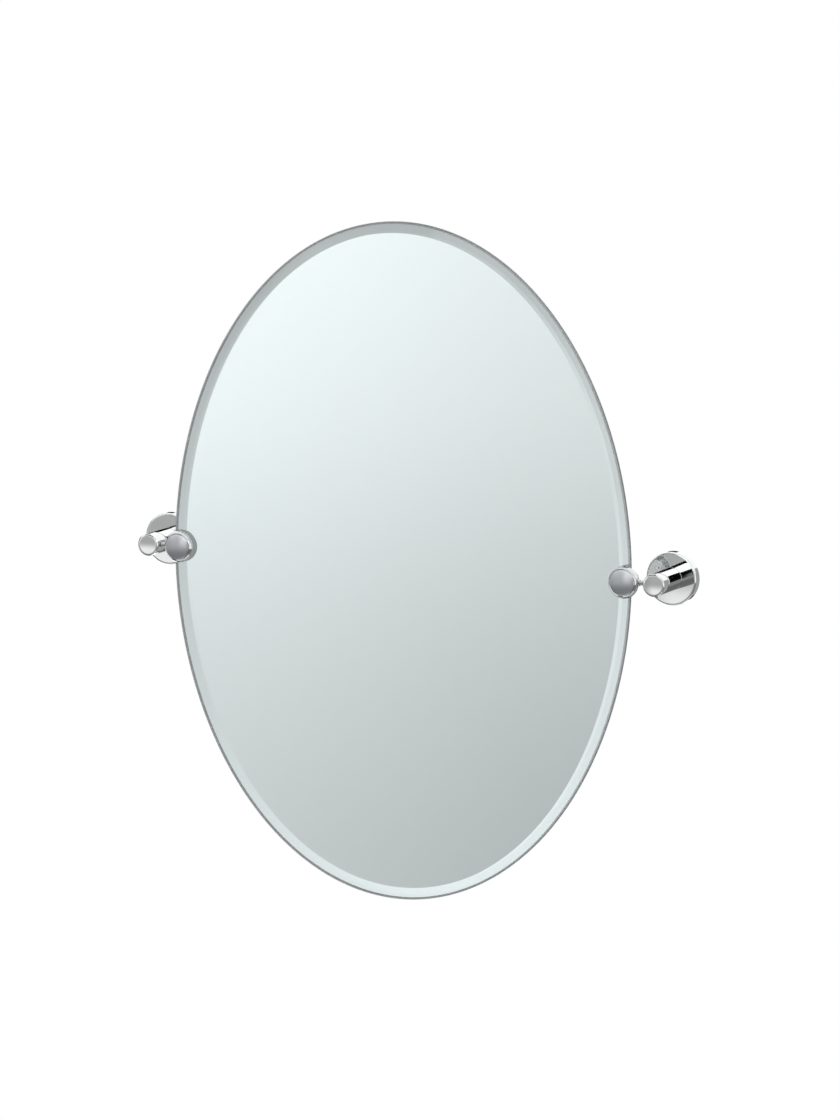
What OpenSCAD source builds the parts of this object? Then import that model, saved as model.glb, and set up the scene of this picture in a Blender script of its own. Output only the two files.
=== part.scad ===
// Pivot wall mirror: an oval bevelled glass, clipped at mid height between two
// wall posts, that tilts on a pair of pivot pins.
// Millimetres. The origin is on the wall plane, midway between the posts, at the
// height of the pivot axis. +X is to the viewer's right, -Y comes out of the wall
// into the room, +Z is up. Sub-parts are drawn on the right-hand side, and the
// left-hand ones are their mirror images.

/* [Glass] */
// Width of the oval glass
glass_w = 495.3; // [420:0.1:560]
// Height of the oval glass
glass_h = 673.1; // [560:0.1:700]
// Thickness of the glass
glass_t = 5; // [4:0.1:6]
// Width of the bevel, from the edge inwards
bevel_w = 11; // [6:0.1:25]
// Thickness of the glass at the outer end of the bevel
edge_t = 2.6; // [2:0.1:3.2]
// Width of the ground arris round the front edge
arris_w = 2.4; // [0.5:0.1:3]
// Depth of the ground arris round the front edge
arris_t = 0.4; // [0.3:0.1:1.6]
// Thickness of the silver and its protective backing
backing_t = 0.3; // [0.1:0.05:0.6]
// Margin of bare glass left round the backing
backing_margin = 0.4; // [0.1:0.1:2]

/* [Pivot] */
// Distance of the pivot axis from the wall
pivot_out = 45; // [43:0.5:60]
// Diameter of the pin where it turns in its bush
pin_d = 5; // [4.4:0.1:6]
// Diameter of the pin's threaded end
pin_thread_d = 3.5; // [3:0.1:4]
// Radial running clearance between the pin and its bush
pin_gap = 0.06; // [0.02:0.01:0.1]
// Wall of the nylon bush
bush_wall = 2; // [1.2:0.1:2.4]
// Length of bush past the middle of the post
bush_past = 3; // [1:0.1:4]
// Free end play of the pin in the bush
pin_end_play = 0.6; // [0.2:0.1:1]
// Width across the flats of the lock nut
nut_flats = 6; // [5.5:0.1:6.4]
// Thickness of the lock nut
nut_t = 1.6; // [1.5:0.1:2.5]

/* [Posts] */
// Diameter of a post
post_d = 22.4; // [20:0.1:26]
// Length of post in front of the pivot axis
post_nose = 8; // [6.5:0.1:14]
// Chamfer round the front end of a post
post_chamfer = 0.7; // [0.3:0.1:1.5]
// Gap between a clip and its post
clip_post_gap = 5.85; // [4:0.05:12]

/* [Flanges] */
// Diameter of a wall flange
flange_d = 52.5; // [50:0.1:60]
// Thickness of a wall flange, from the wall to its front face
flange_t = 9; // [8.5:0.1:12]
// Radius of the rounded front edge of a flange
flange_round = 2; // [0.5:0.1:2.6]
// Thickness of the flange's front wall
flange_face_t = 3; // [2.5:0.1:3.5]
// Thickness of the flange's skirt
flange_skirt = 2; // [1.5:0.1:3]

/* [Wall brackets] */
// Radial clearance between a bracket and the flange that slips over it
bracket_gap = 0.2; // [0.1:0.05:0.4]
// Clearance between a bracket and the back of the flange's front wall
bracket_front_gap = 1; // [0.5:0.1:1.2]
// Diameter of the opening in the middle of a bracket
bracket_bore = 14; // [13:0.1:16]
// Diameter of the wall screw holes
wall_hole_d = 5; // [4:0.1:5.5]
// Diameter of the countersinks for the wall screws
wall_sink_d = 9.4; // [8:0.1:10]
// Depth of the countersinks for the wall screws
wall_sink_t = 2.2; // [1.5:0.1:2.6]
// Distance between a bracket's two wall screw holes
wall_hole_pitch = 28; // [26:0.1:32]

/* [Clips] */
// Diameter of a clip's cap
clip_d = 32; // [30:0.1:36]
// Distance of a clip's centre in from the edge of the glass
clip_inset = 6.2; // [4:0.1:7]
// Height of a clip cap at its rim, before the rim is rounded
cap_side = 3.65; // [3.4:0.05:4.5]
// Rise of the domed face of a clip cap
cap_dome = 3.4; // [3:0.1:4]
// Radius of the rounded rim between the dome and the side
cap_round = 4.4; // [3.5:0.1:4.6]
// Diameter of a clip's back plate and of the web behind its cap
clip_back_d = 25.2; // [25:0.1:28]
// Thickness of a clip's back plate
clip_back_t = 3.4; // [3:0.1:5]
// Radius of the edge round a clip's back plate
clip_back_round = 0.6; // [0.3:0.1:0.6]
// Thickness of the vinyl pads between the clips and the glass
pad_t = 0.8; // [0.5:0.1:1.5]
// Margin by which a pad is smaller than its clip
pad_margin = 0.8; // [0.4:0.1:2]
// Gap between the edge of the glass and the clip's web
edge_gap = 0.6; // [0.3:0.1:1.2]
// Diameter of the boss that the lock nut sits on
pin_boss_d = 6.8; // [6.4:0.1:6.8]
// Reach of that boss past the web
pin_boss_reach = 1.7; // [1:0.1:1.8]

/* [Screws] */
// Radial clearance of every thread in its tapped hole
thread_gap = 0.05; // [0.02:0.01:0.1]
// Diameter of the screw that joins a post to its flange
post_screw_d = 6; // [5:0.1:7]
// Length of thread of the post screw
post_screw_l = 16; // [12:0.5:20]
// Diameter of the post screw's head
post_head_d = 11; // [10:0.1:12]
// Thickness of the post screw's head
post_head_t = 2.8; // [2:0.1:3.4]
// Clearance round the post screw in the flange
post_screw_gap = 0.2; // [0.1:0.05:0.4]
// Diameter of the tension screw under the post's front end
tension_screw_d = 4; // [3:0.1:5]
// Diameter of the set screw that locks a flange on its bracket
set_screw_d = 3; // [2.5:0.1:3.4]
// Depth to which the set screw enters the bracket
set_screw_bite = 2.6; // [1.5:0.1:3.5]
// Depth by which the headless screws lie below the surface round them
screw_recess = 0.4; // [0.2:0.1:0.8]
// Diameter of the clip screws
clip_screw_d = 2.5; // [2:0.1:2.6]
// Diameter of the clip screws' countersunk heads
clip_head_d = 4.3; // [3.8:0.1:4.4]
// Height of the clip screws' countersunk heads
clip_head_t = 1.3; // [1:0.1:1.5]
// Length of the clip screws
clip_screw_l = 11; // [9:0.1:12]
// Distance between the two screws of one clip
clip_screw_pitch = 8.6; // [8.2:0.1:8.8]
// Distance of the clip screws out from the web's inner face
clip_screw_in = 1.95; // [1.9:0.05:2.1]
// Spare depth at the bottom of the blind holes
hole_spare = 1.2; // [0.5:0.1:1.5]

/* [Hidden] */

chrome = [0.80, 0.82, 0.82];
steel = [0.62, 0.63, 0.64];
zinc = [0.70, 0.71, 0.68];
silver_glass = [0.85, 0.88, 0.88];
grey_paint = [0.45, 0.47, 0.49];
clear_vinyl = [0.88, 0.89, 0.88];
white_nylon = [0.93, 0.92, 0.88];

// Facets of round pieces, of the oval glass and of small screws
$fn = 96;
oval_fn = 192;
screw_fn = 48;
// Overrun of cuts past the faces that they open, and of solids that are joined
over = 0.5;

// Distances from the wall, from back to front
bracket_t = flange_t - flange_face_t - bracket_front_gap;
glass_back = pivot_out - glass_t / 2;
glass_front = pivot_out + glass_t / 2;
backing_back = glass_back - backing_t;
clip_joint = backing_back - pad_t;
clip_rear = clip_joint - clip_back_t;
cap_base = glass_front + pad_t;
post_front = pivot_out + post_nose;

// Places along X, from the glass outwards
clip_x = glass_w / 2 - clip_inset;
web_x = glass_w / 2 + edge_gap;
nut_x = clip_x + clip_back_d / 2 + pin_boss_reach;
post_x = clip_x + clip_d / 2 + clip_post_gap + post_d / 2;

// Sizes that follow from the fits
bush_d = pin_d + 2 * (pin_gap + bush_wall);
bush_mouth = sqrt(pow(post_d / 2, 2) - pow(bush_d / 2, 2)) - screw_recess / 2;
flange_bore = flange_d - 2 * flange_skirt;
bracket_d = flange_bore - 2 * bracket_gap;
nut_d = nut_flats / cos(30);
dome_r = (pow(clip_d / 2, 2) + pow(cap_dome, 2)) / (2 * cap_dome);

// A rod along the wall normal, between two distances from the wall
module rod_out(d, from, to, fn = $fn)
    translate([0, -from, 0])
        rotate([90, 0, 0])
            cylinder(d = d, h = to - from, $fn = fn);

// A cone along the wall normal, between two distances from the wall
module cone_out(d_from, d_to, from, to)
    translate([0, -from, 0])
        rotate([90, 0, 0])
            cylinder(d1 = d_from, d2 = d_to, h = to - from, $fn = screw_fn);

// A rod along X, between two places on the pivot axis
module rod_across(d, from, to, fn = $fn)
    translate([from, -pivot_out, 0])
        rotate([0, 90, 0])
            cylinder(d = d, h = to - from, $fn = fn);

// Turns a profile drawn as (radius, distance from the wall) about the wall normal
module turned_out()
    rotate([90, 0, 0])
        rotate_extrude()
            children();

// Half section of a disc with one rounded edge at its far end
module rounded_half_section(r, t, edge) {
    square([r - edge, t]);
    square([r, t - edge]);
    translate([r - edge, t - edge])
        circle(r = edge);
}

// Half section of the clip cap: a short straight side, a rounded rim and a low dome
module cap_half_section() {
    r = clip_d / 2;
    centre_z = cap_side + cap_dome - dome_r;
    round_z = centre_z + sqrt(pow(dome_r - cap_round, 2) - pow(r - cap_round, 2));
    touch_r = (r - cap_round) * dome_r / (dome_r - cap_round);
    intersection() {
        square([touch_r, cap_side + cap_dome]);
        translate([0, centre_z])
            circle(r = dome_r, $fn = 2 * oval_fn);
    }
    square([r, round_z]);
    intersection() {
        square([r, cap_side + cap_dome]);
        translate([r - cap_round, round_z])
            circle(r = cap_round, $fn = oval_fn);
    }
}

// A point on an oval drawn in by an inset, at a distance from the wall
function oval_point(inset, out, i) = [
    (glass_w / 2 - inset) * cos(360 * i / oval_fn),
    -out,
    (glass_h / 2 - inset) * sin(360 * i / oval_fn)
];

// The two triangles that join ring k to the next one, at step i
function ring_pair(k, i) =
    let (
        j = (i + 1) % oval_fn,
        back = k * oval_fn,
        front = (k + 1) * oval_fn
    )
    [[front + i, front + j, back + j], [front + i, back + j, back + i]];

// A solid through oval rings, each given as [inset, distance from the wall]
module oval_solid(rings) {
    last = len(rings) - 1;
    polyhedron(
        points = [
            for (ring = rings)
                for (i = [0:oval_fn - 1])
                    oval_point(ring[0], ring[1], i)
        ],
        faces = concat(
            [[for (i = [0:oval_fn - 1]) i]],
            [for (k = [0:last - 1]) for (i = [0:oval_fn - 1]) each ring_pair(k, i)],
            [[for (i = [oval_fn - 1:-1:0]) last * oval_fn + i]]
        )
    );
}

// The oval glass: back face, edge, arris, bevel and front face
module glass_solid()
    oval_solid([
        [0, glass_back],
        [0, glass_back + edge_t - arris_t],
        [arris_w, glass_back + edge_t],
        [bevel_w, glass_front]
    ]);

module mirror_glass()
    color(silver_glass)
        glass_solid();

module silver_backing()
    color(grey_paint)
        oval_solid([[backing_margin, backing_back], [backing_margin, glass_back]]);

// The two places of a clip's screws
module at_clip_screws()
    for (side = [-1, 1])
        translate([web_x + clip_screw_in, 0, side * clip_screw_pitch / 2])
            children();

// The web of the clip cap, which goes round the edge of the glass
module clip_web()
    intersection() {
        translate([clip_x, 0, 0])
            rod_out(clip_back_d, clip_joint, cap_base + over);
        translate([web_x, -cap_base - over, -clip_d])
            cube([clip_d, cap_base - clip_joint + 2 * over, 2 * clip_d]);
    }

module clip_cap()
    color(chrome)
        difference() {
            union() {
                translate([clip_x, -cap_base, 0])
                    turned_out()
                        cap_half_section();
                clip_web();
                rod_across(pin_boss_d, web_x, nut_x);
            }
            at_clip_screws()
                rod_out(
                    clip_screw_d + 2 * thread_gap,
                    clip_joint - over,
                    clip_rear + clip_screw_l + hole_spare,
                    screw_fn
                );
            rod_across(pin_thread_d + 2 * thread_gap, web_x - over, nut_x + over, screw_fn);
        }

module clip_back()
    color(chrome)
        difference() {
            translate([clip_x, -clip_joint, 0])
                mirror([0, 1, 0])
                    turned_out()
                        rounded_half_section(clip_back_d / 2, clip_back_t, clip_back_round);
            at_clip_screws() {
                rod_out(
                    clip_screw_d + 2 * thread_gap, clip_rear - over, clip_joint + over, screw_fn
                );
                cone_out(clip_head_d, clip_screw_d, clip_rear, clip_rear + clip_head_t);
                rod_out(clip_head_d, clip_rear - over, clip_rear, screw_fn);
            }
        }

// The part of a clip's disc, of diameter d, that lies over the glass
module pad_blank(d, from, to)
    intersection() {
        translate([clip_x, 0, 0])
            rod_out(d - 2 * pad_margin, from, to);
        translate([clip_x - clip_d, -to - over, -clip_d])
            cube([clip_inset + clip_d, to - from + 2 * over, 2 * clip_d]);
    }

module front_pad()
    color(clear_vinyl)
        difference() {
            pad_blank(clip_d, glass_back + edge_t, cap_base);
            glass_solid();
        }

module rear_pad()
    color(clear_vinyl)
        pad_blank(clip_back_d, clip_joint, backing_back);

module clip_screw_pair()
    color(steel)
        at_clip_screws()
            difference() {
                union() {
                    cone_out(clip_head_d, clip_screw_d, clip_rear, clip_rear + clip_head_t);
                    rod_out(clip_screw_d, clip_rear, clip_rear + clip_screw_l, screw_fn);
                }
                rod_out(clip_screw_d * 0.7, clip_rear - over, clip_rear + clip_head_t * 0.8, 6);
            }

module pivot_pin()
    color(steel) {
        rod_across(pin_thread_d, web_x + pin_end_play, nut_x + nut_t, screw_fn);
        rod_across(pin_d, nut_x + nut_t, post_x + bush_past - pin_end_play);
    }

module pin_lock_nut()
    color(chrome)
        difference() {
            rod_across(nut_d, nut_x, nut_x + nut_t, 6);
            rod_across(pin_thread_d + 2 * thread_gap, nut_x - over, nut_x + nut_t + over, screw_fn);
        }

module pivot_bush()
    color(white_nylon)
        difference() {
            rod_across(bush_d, post_x - bush_mouth, post_x + bush_past);
            rod_across(
                pin_d + 2 * pin_gap, post_x - bush_mouth - over, post_x + bush_past + over
            );
        }

module tension_screw()
    color(steel)
        translate([post_x, -pivot_out, -post_d / 2 + screw_recess])
            difference() {
                cylinder(
                    d = tension_screw_d,
                    h = (post_d - bush_d) / 2 - screw_recess,
                    $fn = screw_fn
                );
                translate([0, 0, -over])
                    cylinder(d = tension_screw_d * 0.6, h = tension_screw_d * 0.6 + over, $fn = 6);
            }

module post()
    color(chrome)
        difference() {
            translate([post_x, 0, 0]) {
                rod_out(post_d, flange_t, post_front - post_chamfer);
                translate([0, post_chamfer - post_front, 0])
                    rotate([90, 0, 0])
                        cylinder(d1 = post_d, d2 = post_d - 2 * post_chamfer, h = post_chamfer);
            }
            rod_across(bush_d, post_x - post_d, post_x + bush_past);
            translate([post_x, -pivot_out, -post_d])
                cylinder(d = tension_screw_d + 2 * thread_gap, h = post_d, $fn = screw_fn);
            translate([post_x, 0, 0])
                rod_out(
                    post_screw_d + 2 * thread_gap,
                    flange_t - over,
                    flange_t - flange_face_t + post_screw_l + hole_spare,
                    screw_fn
                );
        }

module post_screw() {
    seat = flange_t - flange_face_t;
    color(steel)
        translate([post_x, 0, 0])
            difference() {
                union() {
                    rod_out(post_head_d, seat - post_head_t, seat, screw_fn);
                    rod_out(post_screw_d, seat, seat + post_screw_l, screw_fn);
                }
                rod_out(post_screw_d * 0.8, seat - post_head_t - over, seat, 6);
            }
}

module flange()
    color(chrome)
        translate([post_x, 0, 0])
            difference() {
                turned_out()
                    rounded_half_section(flange_d / 2, flange_t, flange_round);
                rod_out(flange_bore, -over, flange_t - flange_face_t);
                rod_out(post_screw_d + 2 * post_screw_gap, 0, flange_t + over, screw_fn);
                translate([0, -bracket_t / 2, -flange_d])
                    cylinder(d = set_screw_d + 2 * thread_gap, h = flange_d, $fn = screw_fn);
            }

module flange_set_screw() {
    length = flange_skirt + bracket_gap + set_screw_bite - screw_recess;
    color(steel)
        translate([post_x, -bracket_t / 2, -flange_d / 2 + screw_recess])
            difference() {
                cylinder(d = set_screw_d, h = length, $fn = screw_fn);
                translate([0, 0, -over])
                    cylinder(d = set_screw_d * 0.6, h = set_screw_d * 0.6 + over, $fn = 6);
            }
}

module wall_bracket()
    color(zinc)
        translate([post_x, 0, 0])
            difference() {
                rod_out(bracket_d, 0, bracket_t);
                rod_out(bracket_bore, -over, bracket_t + over);
                for (side = [-1, 1])
                    translate([0, 0, side * wall_hole_pitch / 2]) {
                        rod_out(wall_hole_d, -over, bracket_t + over);
                        cone_out(wall_hole_d, wall_sink_d, bracket_t - wall_sink_t, bracket_t);
                        rod_out(wall_sink_d, bracket_t, bracket_t + over);
                    }
                translate([0, -bracket_t / 2, -bracket_d / 2 - over])
                    cylinder(
                        d = set_screw_d + 2 * thread_gap,
                        h = set_screw_bite + over,
                        $fn = screw_fn
                    );
            }

// Mirror image of a right-hand sub-part
module left_hand()
    mirror([1, 0, 0])
        children();

// A sub-part on the right and its mirror image on the left
module both_hands() {
    children();
    left_hand()
        children();
}

mirror_glass();
silver_backing();
left_hand() clip_cap();  // clip_cap_left
clip_cap();  // clip_cap_right
left_hand() clip_back();  // clip_back_left
clip_back();  // clip_back_right
left_hand() front_pad();  // front_pad_left
front_pad();  // front_pad_right
left_hand() rear_pad();  // rear_pad_left
rear_pad();  // rear_pad_right
both_hands() clip_screw_pair();  // clip_screws
left_hand() pivot_pin();  // pivot_pin_left
pivot_pin();  // pivot_pin_right
both_hands() pin_lock_nut();  // pin_lock_nuts
left_hand() pivot_bush();  // pivot_bush_left
pivot_bush();  // pivot_bush_right
both_hands() tension_screw();  // tension_screws
left_hand() post();  // post_left
post();  // post_right
both_hands() post_screw();  // post_screws
left_hand() flange();  // flange_left
flange();  // flange_right
both_hands() flange_set_screw();  // flange_set_screws
left_hand() wall_bracket();  // wall_bracket_left
wall_bracket();  // wall_bracket_right
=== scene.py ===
"""Looks of the oval pivot wall mirror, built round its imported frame.

The frame says where every piece is and how large. This script rebuilds the turned,
plated and glass pieces as fine meshes of the same sizes, gives each one its finish,
and lights them the way a pale studio would.
"""

import functools
import logging
import math
from collections.abc import Callable, Iterable, Sequence
from dataclasses import dataclass, field
from enum import Enum

import bmesh
import bpy
from mathutils import Matrix, Vector


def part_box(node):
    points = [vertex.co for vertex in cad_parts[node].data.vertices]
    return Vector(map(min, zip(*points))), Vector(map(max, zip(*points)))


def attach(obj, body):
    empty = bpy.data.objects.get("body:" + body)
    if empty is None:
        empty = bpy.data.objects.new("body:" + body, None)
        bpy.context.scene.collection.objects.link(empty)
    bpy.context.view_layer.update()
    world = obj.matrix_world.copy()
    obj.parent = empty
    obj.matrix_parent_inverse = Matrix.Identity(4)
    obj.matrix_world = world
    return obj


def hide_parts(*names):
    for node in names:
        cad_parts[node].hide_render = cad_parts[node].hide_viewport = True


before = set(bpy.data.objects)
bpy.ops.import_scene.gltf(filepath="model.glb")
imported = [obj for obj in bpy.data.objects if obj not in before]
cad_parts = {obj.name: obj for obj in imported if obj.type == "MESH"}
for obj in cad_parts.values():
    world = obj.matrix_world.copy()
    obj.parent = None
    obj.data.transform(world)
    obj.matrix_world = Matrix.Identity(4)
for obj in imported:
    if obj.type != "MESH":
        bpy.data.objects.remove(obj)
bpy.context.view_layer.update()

log = logging.getLogger("pivot_mirror")

Material = bpy.types.Material
Piece = bpy.types.Object
Socket = bpy.types.NodeSocket
Tree = bpy.types.NodeTree

MM = 0.001

# Steps round a turned piece, a fastener and the oval glass
ROUND_STEPS = 192
FASTENER_STEPS = 48
OVAL_STEPS = 1024
# Steps in a quarter turn of a rounded edge
ARC_STEPS = 8
# Overrun of a cut past the face that it opens
OVERRUN = 0.5 * MM
# Room all round between a screw's thread and its hole
THREAD_GAP = 0.05 * MM
# Half the thickness of a pin's lock nut
HALF_NUT = 0.8 * MM
# Angle between faces past which the edge between them is drawn crisp
CRISP_ANGLE = math.radians(28)


# ---------------------------------------------------------------- shapes


class Axis(Enum):
    """The direction that a turned piece points in."""

    OUT = "out of the wall"
    ACROSS = "across, towards the viewer's right"
    UP = "up"

    def place(self, a: float, b: float, along: float) -> Vector:
        """The point at a and b across the axis, and at a distance along it.

        Args:
            a: The first distance across the axis.
            b: The second one.
            along: The distance along the axis.

        Returns:
            The point.
        """
        if self is Axis.OUT:
            return Vector((a, -along, b))
        if self is Axis.ACROSS:
            return Vector((along, a, b))
        return Vector((a, b, along))


class Side(Enum):
    """The two hands of the mirror, as the viewer sees them."""

    LEFT = -1
    RIGHT = 1

    @property
    def label(self) -> str:
        """The hand's name, as the frame's nodes end."""
        return self.name.lower()


@dataclass(frozen=True)
class Ring:
    """One ring of a turned or six-sided piece.

    A radius of 0 is the point on the axis. Of a six-sided ring it is half the
    distance across the flats, and turn is how far its first corner is turned.
    """

    radius: float
    along: float
    six_sided: bool = False
    turn: float = 0.0

    def radius_at(self, angle: float) -> float:
        """The distance from the axis at an angle round it.

        Args:
            angle: The angle, in radians.

        Returns:
            The distance.
        """
        if not self.six_sided:
            return self.radius
        sixth = math.radians(60)
        return self.radius / math.cos((angle - self.turn) % sixth - sixth / 2)


def arc(centre: tuple[float, float], radius: float, start: float, end: float,
        steps: int = ARC_STEPS) -> list[Ring]:
    """Rings along an arc of a section.

    Args:
        centre: The arc's centre, as distance from the axis and place along it.
        radius: The arc's radius.
        start: The angle where it starts, in degrees from straight outwards.
        end: The angle where it ends.
        steps: The number of steps.

    Returns:
        The rings, from start to end.
    """
    rings = []
    for k in range(steps + 1):
        angle = math.radians(start + (end - start) * k / steps)
        rings.append(Ring(centre[0] + radius * math.cos(angle), centre[1] + radius * math.sin(angle)))
    return rings


def join_rows(bm: bmesh.types.BMesh, lower: list, upper: list) -> None:
    """Joins two rows of vertices with faces. A row of one vertex is a point on the axis.

    Args:
        bm: The mesh that gets the faces.
        lower: The first row's vertices.
        upper: The next row's vertices.
    """
    count = max(len(lower), len(upper))
    if count == 1:
        return
    for k in range(count):
        corners = [lower[k % len(lower)], lower[(k + 1) % len(lower)],
                   upper[(k + 1) % len(upper)], upper[k % len(upper)]]
        bm.faces.new(list(dict.fromkeys(corners)))


def turned(name: str, axis: Axis, rings: Sequence[Ring], centre: tuple[float, float] = (0.0, 0.0),
           closed: bool = False, steps: int = ROUND_STEPS) -> Piece:
    """Builds a turned or six-sided piece through its rings.

    Args:
        name: The new object's name.
        axis: The direction that the rings follow each other in.
        rings: The section, as rings.
        centre: Where the axis lies across its own direction.
        closed: Whether the last ring joins the first, as on a piece with a through hole.
        steps: The number of steps round the piece.

    Returns:
        The object, at the origin, with its faces pointing outwards.
    """
    bm = bmesh.new()
    rows = []
    for ring in rings:
        row = []
        for k in range(steps if ring.radius else 1):
            angle = 2 * math.pi * k / steps
            reach = ring.radius_at(angle) if ring.radius else 0.0
            point = axis.place(
                centre[0] + reach * math.cos(angle), centre[1] + reach * math.sin(angle), ring.along
            )
            row.append(bm.verts.new(point))
        rows.append(row)
    followers = rows[1:] + rows[:1] if closed else rows[1:]
    for lower, upper in zip(rows, followers):
        join_rows(bm, lower, upper)
    if not closed:
        for row in (rows[0], rows[-1]):
            if len(row) > 1:
                bm.faces.new(row)
    bmesh.ops.recalc_face_normals(bm, faces=bm.faces)
    mesh = bpy.data.meshes.new(name)
    bm.to_mesh(mesh)
    bm.free()
    return link_object(name, mesh)


def block(name: str, low: Vector, high: Vector) -> Piece:
    """A plain block between two corners, used to cut with.

    Args:
        name: The new object's name.
        low: The corner with the least x, y and z.
        high: The opposite corner.

    Returns:
        The block.
    """
    bm = bmesh.new()
    bmesh.ops.create_cube(bm, size=1.0)
    for vertex in bm.verts:
        share = vertex.co + Vector((0.5, 0.5, 0.5))
        vertex.co = Vector([lo + (hi - lo) * s for lo, hi, s in zip(low, high, share)])
    mesh = bpy.data.meshes.new(name)
    bm.to_mesh(mesh)
    bm.free()
    return link_object(name, mesh)


def link_object(name: str, data: bpy.types.ID | None) -> Piece:
    """Makes an object of some data and puts it in the scene.

    Args:
        name: The object's name.
        data: Its data, such as a mesh.

    Returns:
        The object.
    """
    made = bpy.data.objects.new(name, data)
    bpy.context.scene.collection.objects.link(made)
    return made


def settle(piece: Piece) -> None:
    """Replaces a piece's mesh by its evaluated one and clears its modifiers.

    Args:
        piece: The piece. Its new mesh takes its name.
    """
    graph = bpy.context.evaluated_depsgraph_get()
    fresh = bpy.data.meshes.new_from_object(piece.evaluated_get(graph), depsgraph=graph)
    piece.modifiers.clear()
    old = piece.data
    piece.data = fresh
    fresh.name = piece.name
    bpy.data.meshes.remove(old)


def carve(piece: Piece, others: Iterable[Piece], operation: str = "DIFFERENCE") -> None:
    """Takes other pieces away from a piece, or joins them to it, and then removes them.

    Args:
        piece: The piece that stays.
        others: The pieces that are used up.
        operation: The Boolean modifier's operation.
    """
    used = list(others)
    for other in used:
        modifier = piece.modifiers.new("carve", "BOOLEAN")
        modifier.operation = operation
        modifier.solver = "EXACT"
        modifier.object = other
    settle(piece)
    for other in used:
        bpy.data.objects.remove(other)


def crisp(piece: Piece) -> None:
    """Shades a piece smooth between its crisp edges, led by its largest faces.

    Args:
        piece: The piece.
    """
    piece.data.polygons.foreach_set("use_smooth", [True] * len(piece.data.polygons))
    piece.data.set_sharp_from_angle(angle=CRISP_ANGLE)
    modifier = piece.modifiers.new("normals", "WEIGHTED_NORMAL")
    modifier.keep_sharp = True
    modifier.weight = 100
    settle(piece)


def rod(axis: Axis, radius: float, start: float, end: float, centre: tuple[float, float],
        steps: int = FASTENER_STEPS) -> Piece:
    """A plain rod between two places along an axis, used to cut with or to join on."""
    return turned("cutter", axis, [Ring(radius, start), Ring(radius, end)], centre, steps=steps)


# ---------------------------------------------------------------- node trees


class Wiring:
    """Adds nodes to a tree and joins them, in few words."""

    def __init__(self, tree: Tree) -> None:
        """Keeps the tree."""
        self.tree = tree

    def add(self, kind: str, inputs: dict | None = None, **settings: object) -> bpy.types.Node:
        """Adds a node.

        Args:
            kind: The node's type.
            inputs: Its input sockets' values or sources, by name or number.
            settings: Its own settings.

        Returns:
            The node.
        """
        made = self.tree.nodes.new(kind)
        for name, value in settings.items():
            setattr(made, name, value)
        for key, value in (inputs or {}).items():
            self.feed(made.inputs[key], value)
        return made

    def feed(self, socket: Socket, value: object) -> None:
        """Gives a socket a value, or joins it to the socket that value is.

        Args:
            socket: The input socket.
            value: A plain value or an output socket.
        """
        if isinstance(value, Socket):
            self.tree.links.new(value, socket)
        else:
            socket.default_value = value

    def maths(self, operation: str, *values: object) -> Socket:
        """The result of a Math node."""
        made = self.add("ShaderNodeMath", dict(enumerate(values)), operation=operation)
        return made.outputs[0]

    def plus(self, a: object, b: object) -> Socket:
        """The sum of two numbers."""
        return self.maths("ADD", a, b)

    def minus(self, a: object, b: object) -> Socket:
        """The difference between two numbers."""
        return self.maths("SUBTRACT", a, b)

    def times(self, a: object, b: object) -> Socket:
        """The product of two numbers."""
        return self.maths("MULTIPLY", a, b)

    def over(self, a: object, b: object) -> Socket:
        """One number divided by another."""
        return self.maths("DIVIDE", a, b)

    def length(self, a: object, b: object) -> Socket:
        """The length of the line whose two sides are a and b."""
        return self.maths("SQRT", self.plus(self.times(a, a), self.times(b, b)))

    def towards(self, a: object, b: object, turn: float) -> Socket:
        """How far the point (a, b) reaches in one direction, turned from a's axis towards b's."""
        return self.plus(self.times(a, math.cos(turn)), self.times(b, math.sin(turn)))

    def between(self, value: object, low: object, high: object, to_low: object = 0.0,
                to_high: object = 1.0) -> Socket:
        """A value eased from one range into another, and held at its ends.

        Args:
            value: The value.
            low: Where the first range starts.
            high: Where it ends.
            to_low: What its start becomes.
            to_high: What its end becomes.

        Returns:
            The value in the new range.
        """
        made = self.add(
            "ShaderNodeMapRange",
            {"Value": value, "From Min": low, "From Max": high, "To Min": to_low, "To Max": to_high},
            interpolation_type="SMOOTHSTEP",
        )
        return made.outputs["Result"]

    def blend(self, share: object, first: object, second: object) -> Socket:
        """A number between two, by a share."""
        made = self.add("ShaderNodeMix", {0: share, 2: first, 3: second}, data_type="FLOAT")
        return made.outputs[0]

    def tint(self, share: object, first: object, second: object) -> Socket:
        """A colour between two, by a share."""
        made = self.add("ShaderNodeMix", {0: share, 6: first, 7: second}, data_type="RGBA")
        return made.outputs[2]


def group(name: str, inputs: dict[str, tuple[str, object]], outputs: dict[str, str],
          kind: str = "ShaderNodeTree") -> tuple[Wiring, bpy.types.Node, bpy.types.Node]:
    """Starts a node group.

    Args:
        name: The group's name.
        inputs: Its inputs' socket types and defaults, by name.
        outputs: Its outputs' socket types, by name.
        kind: The type of tree.

    Returns:
        The wiring of its tree, its input node and its output node.
    """
    tree = bpy.data.node_groups.new(name, kind)
    for label, (socket_type, default) in inputs.items():
        socket = tree.interface.new_socket(label, in_out="INPUT", socket_type=socket_type)
        if default is not None:
            socket.default_value = default
    for label, socket_type in outputs.items():
        tree.interface.new_socket(label, in_out="OUTPUT", socket_type=socket_type)
    wiring = Wiring(tree)
    return wiring, wiring.add("NodeGroupInput"), wiring.add("NodeGroupOutput")


FLOAT = "NodeSocketFloat"
INTEGER = "NodeSocketInt"
VECTOR = "NodeSocketVector"
OBJECT = "NodeSocketObject"
MATERIAL = "NodeSocketMaterial"
GEOMETRY = "NodeSocketGeometry"


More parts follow.
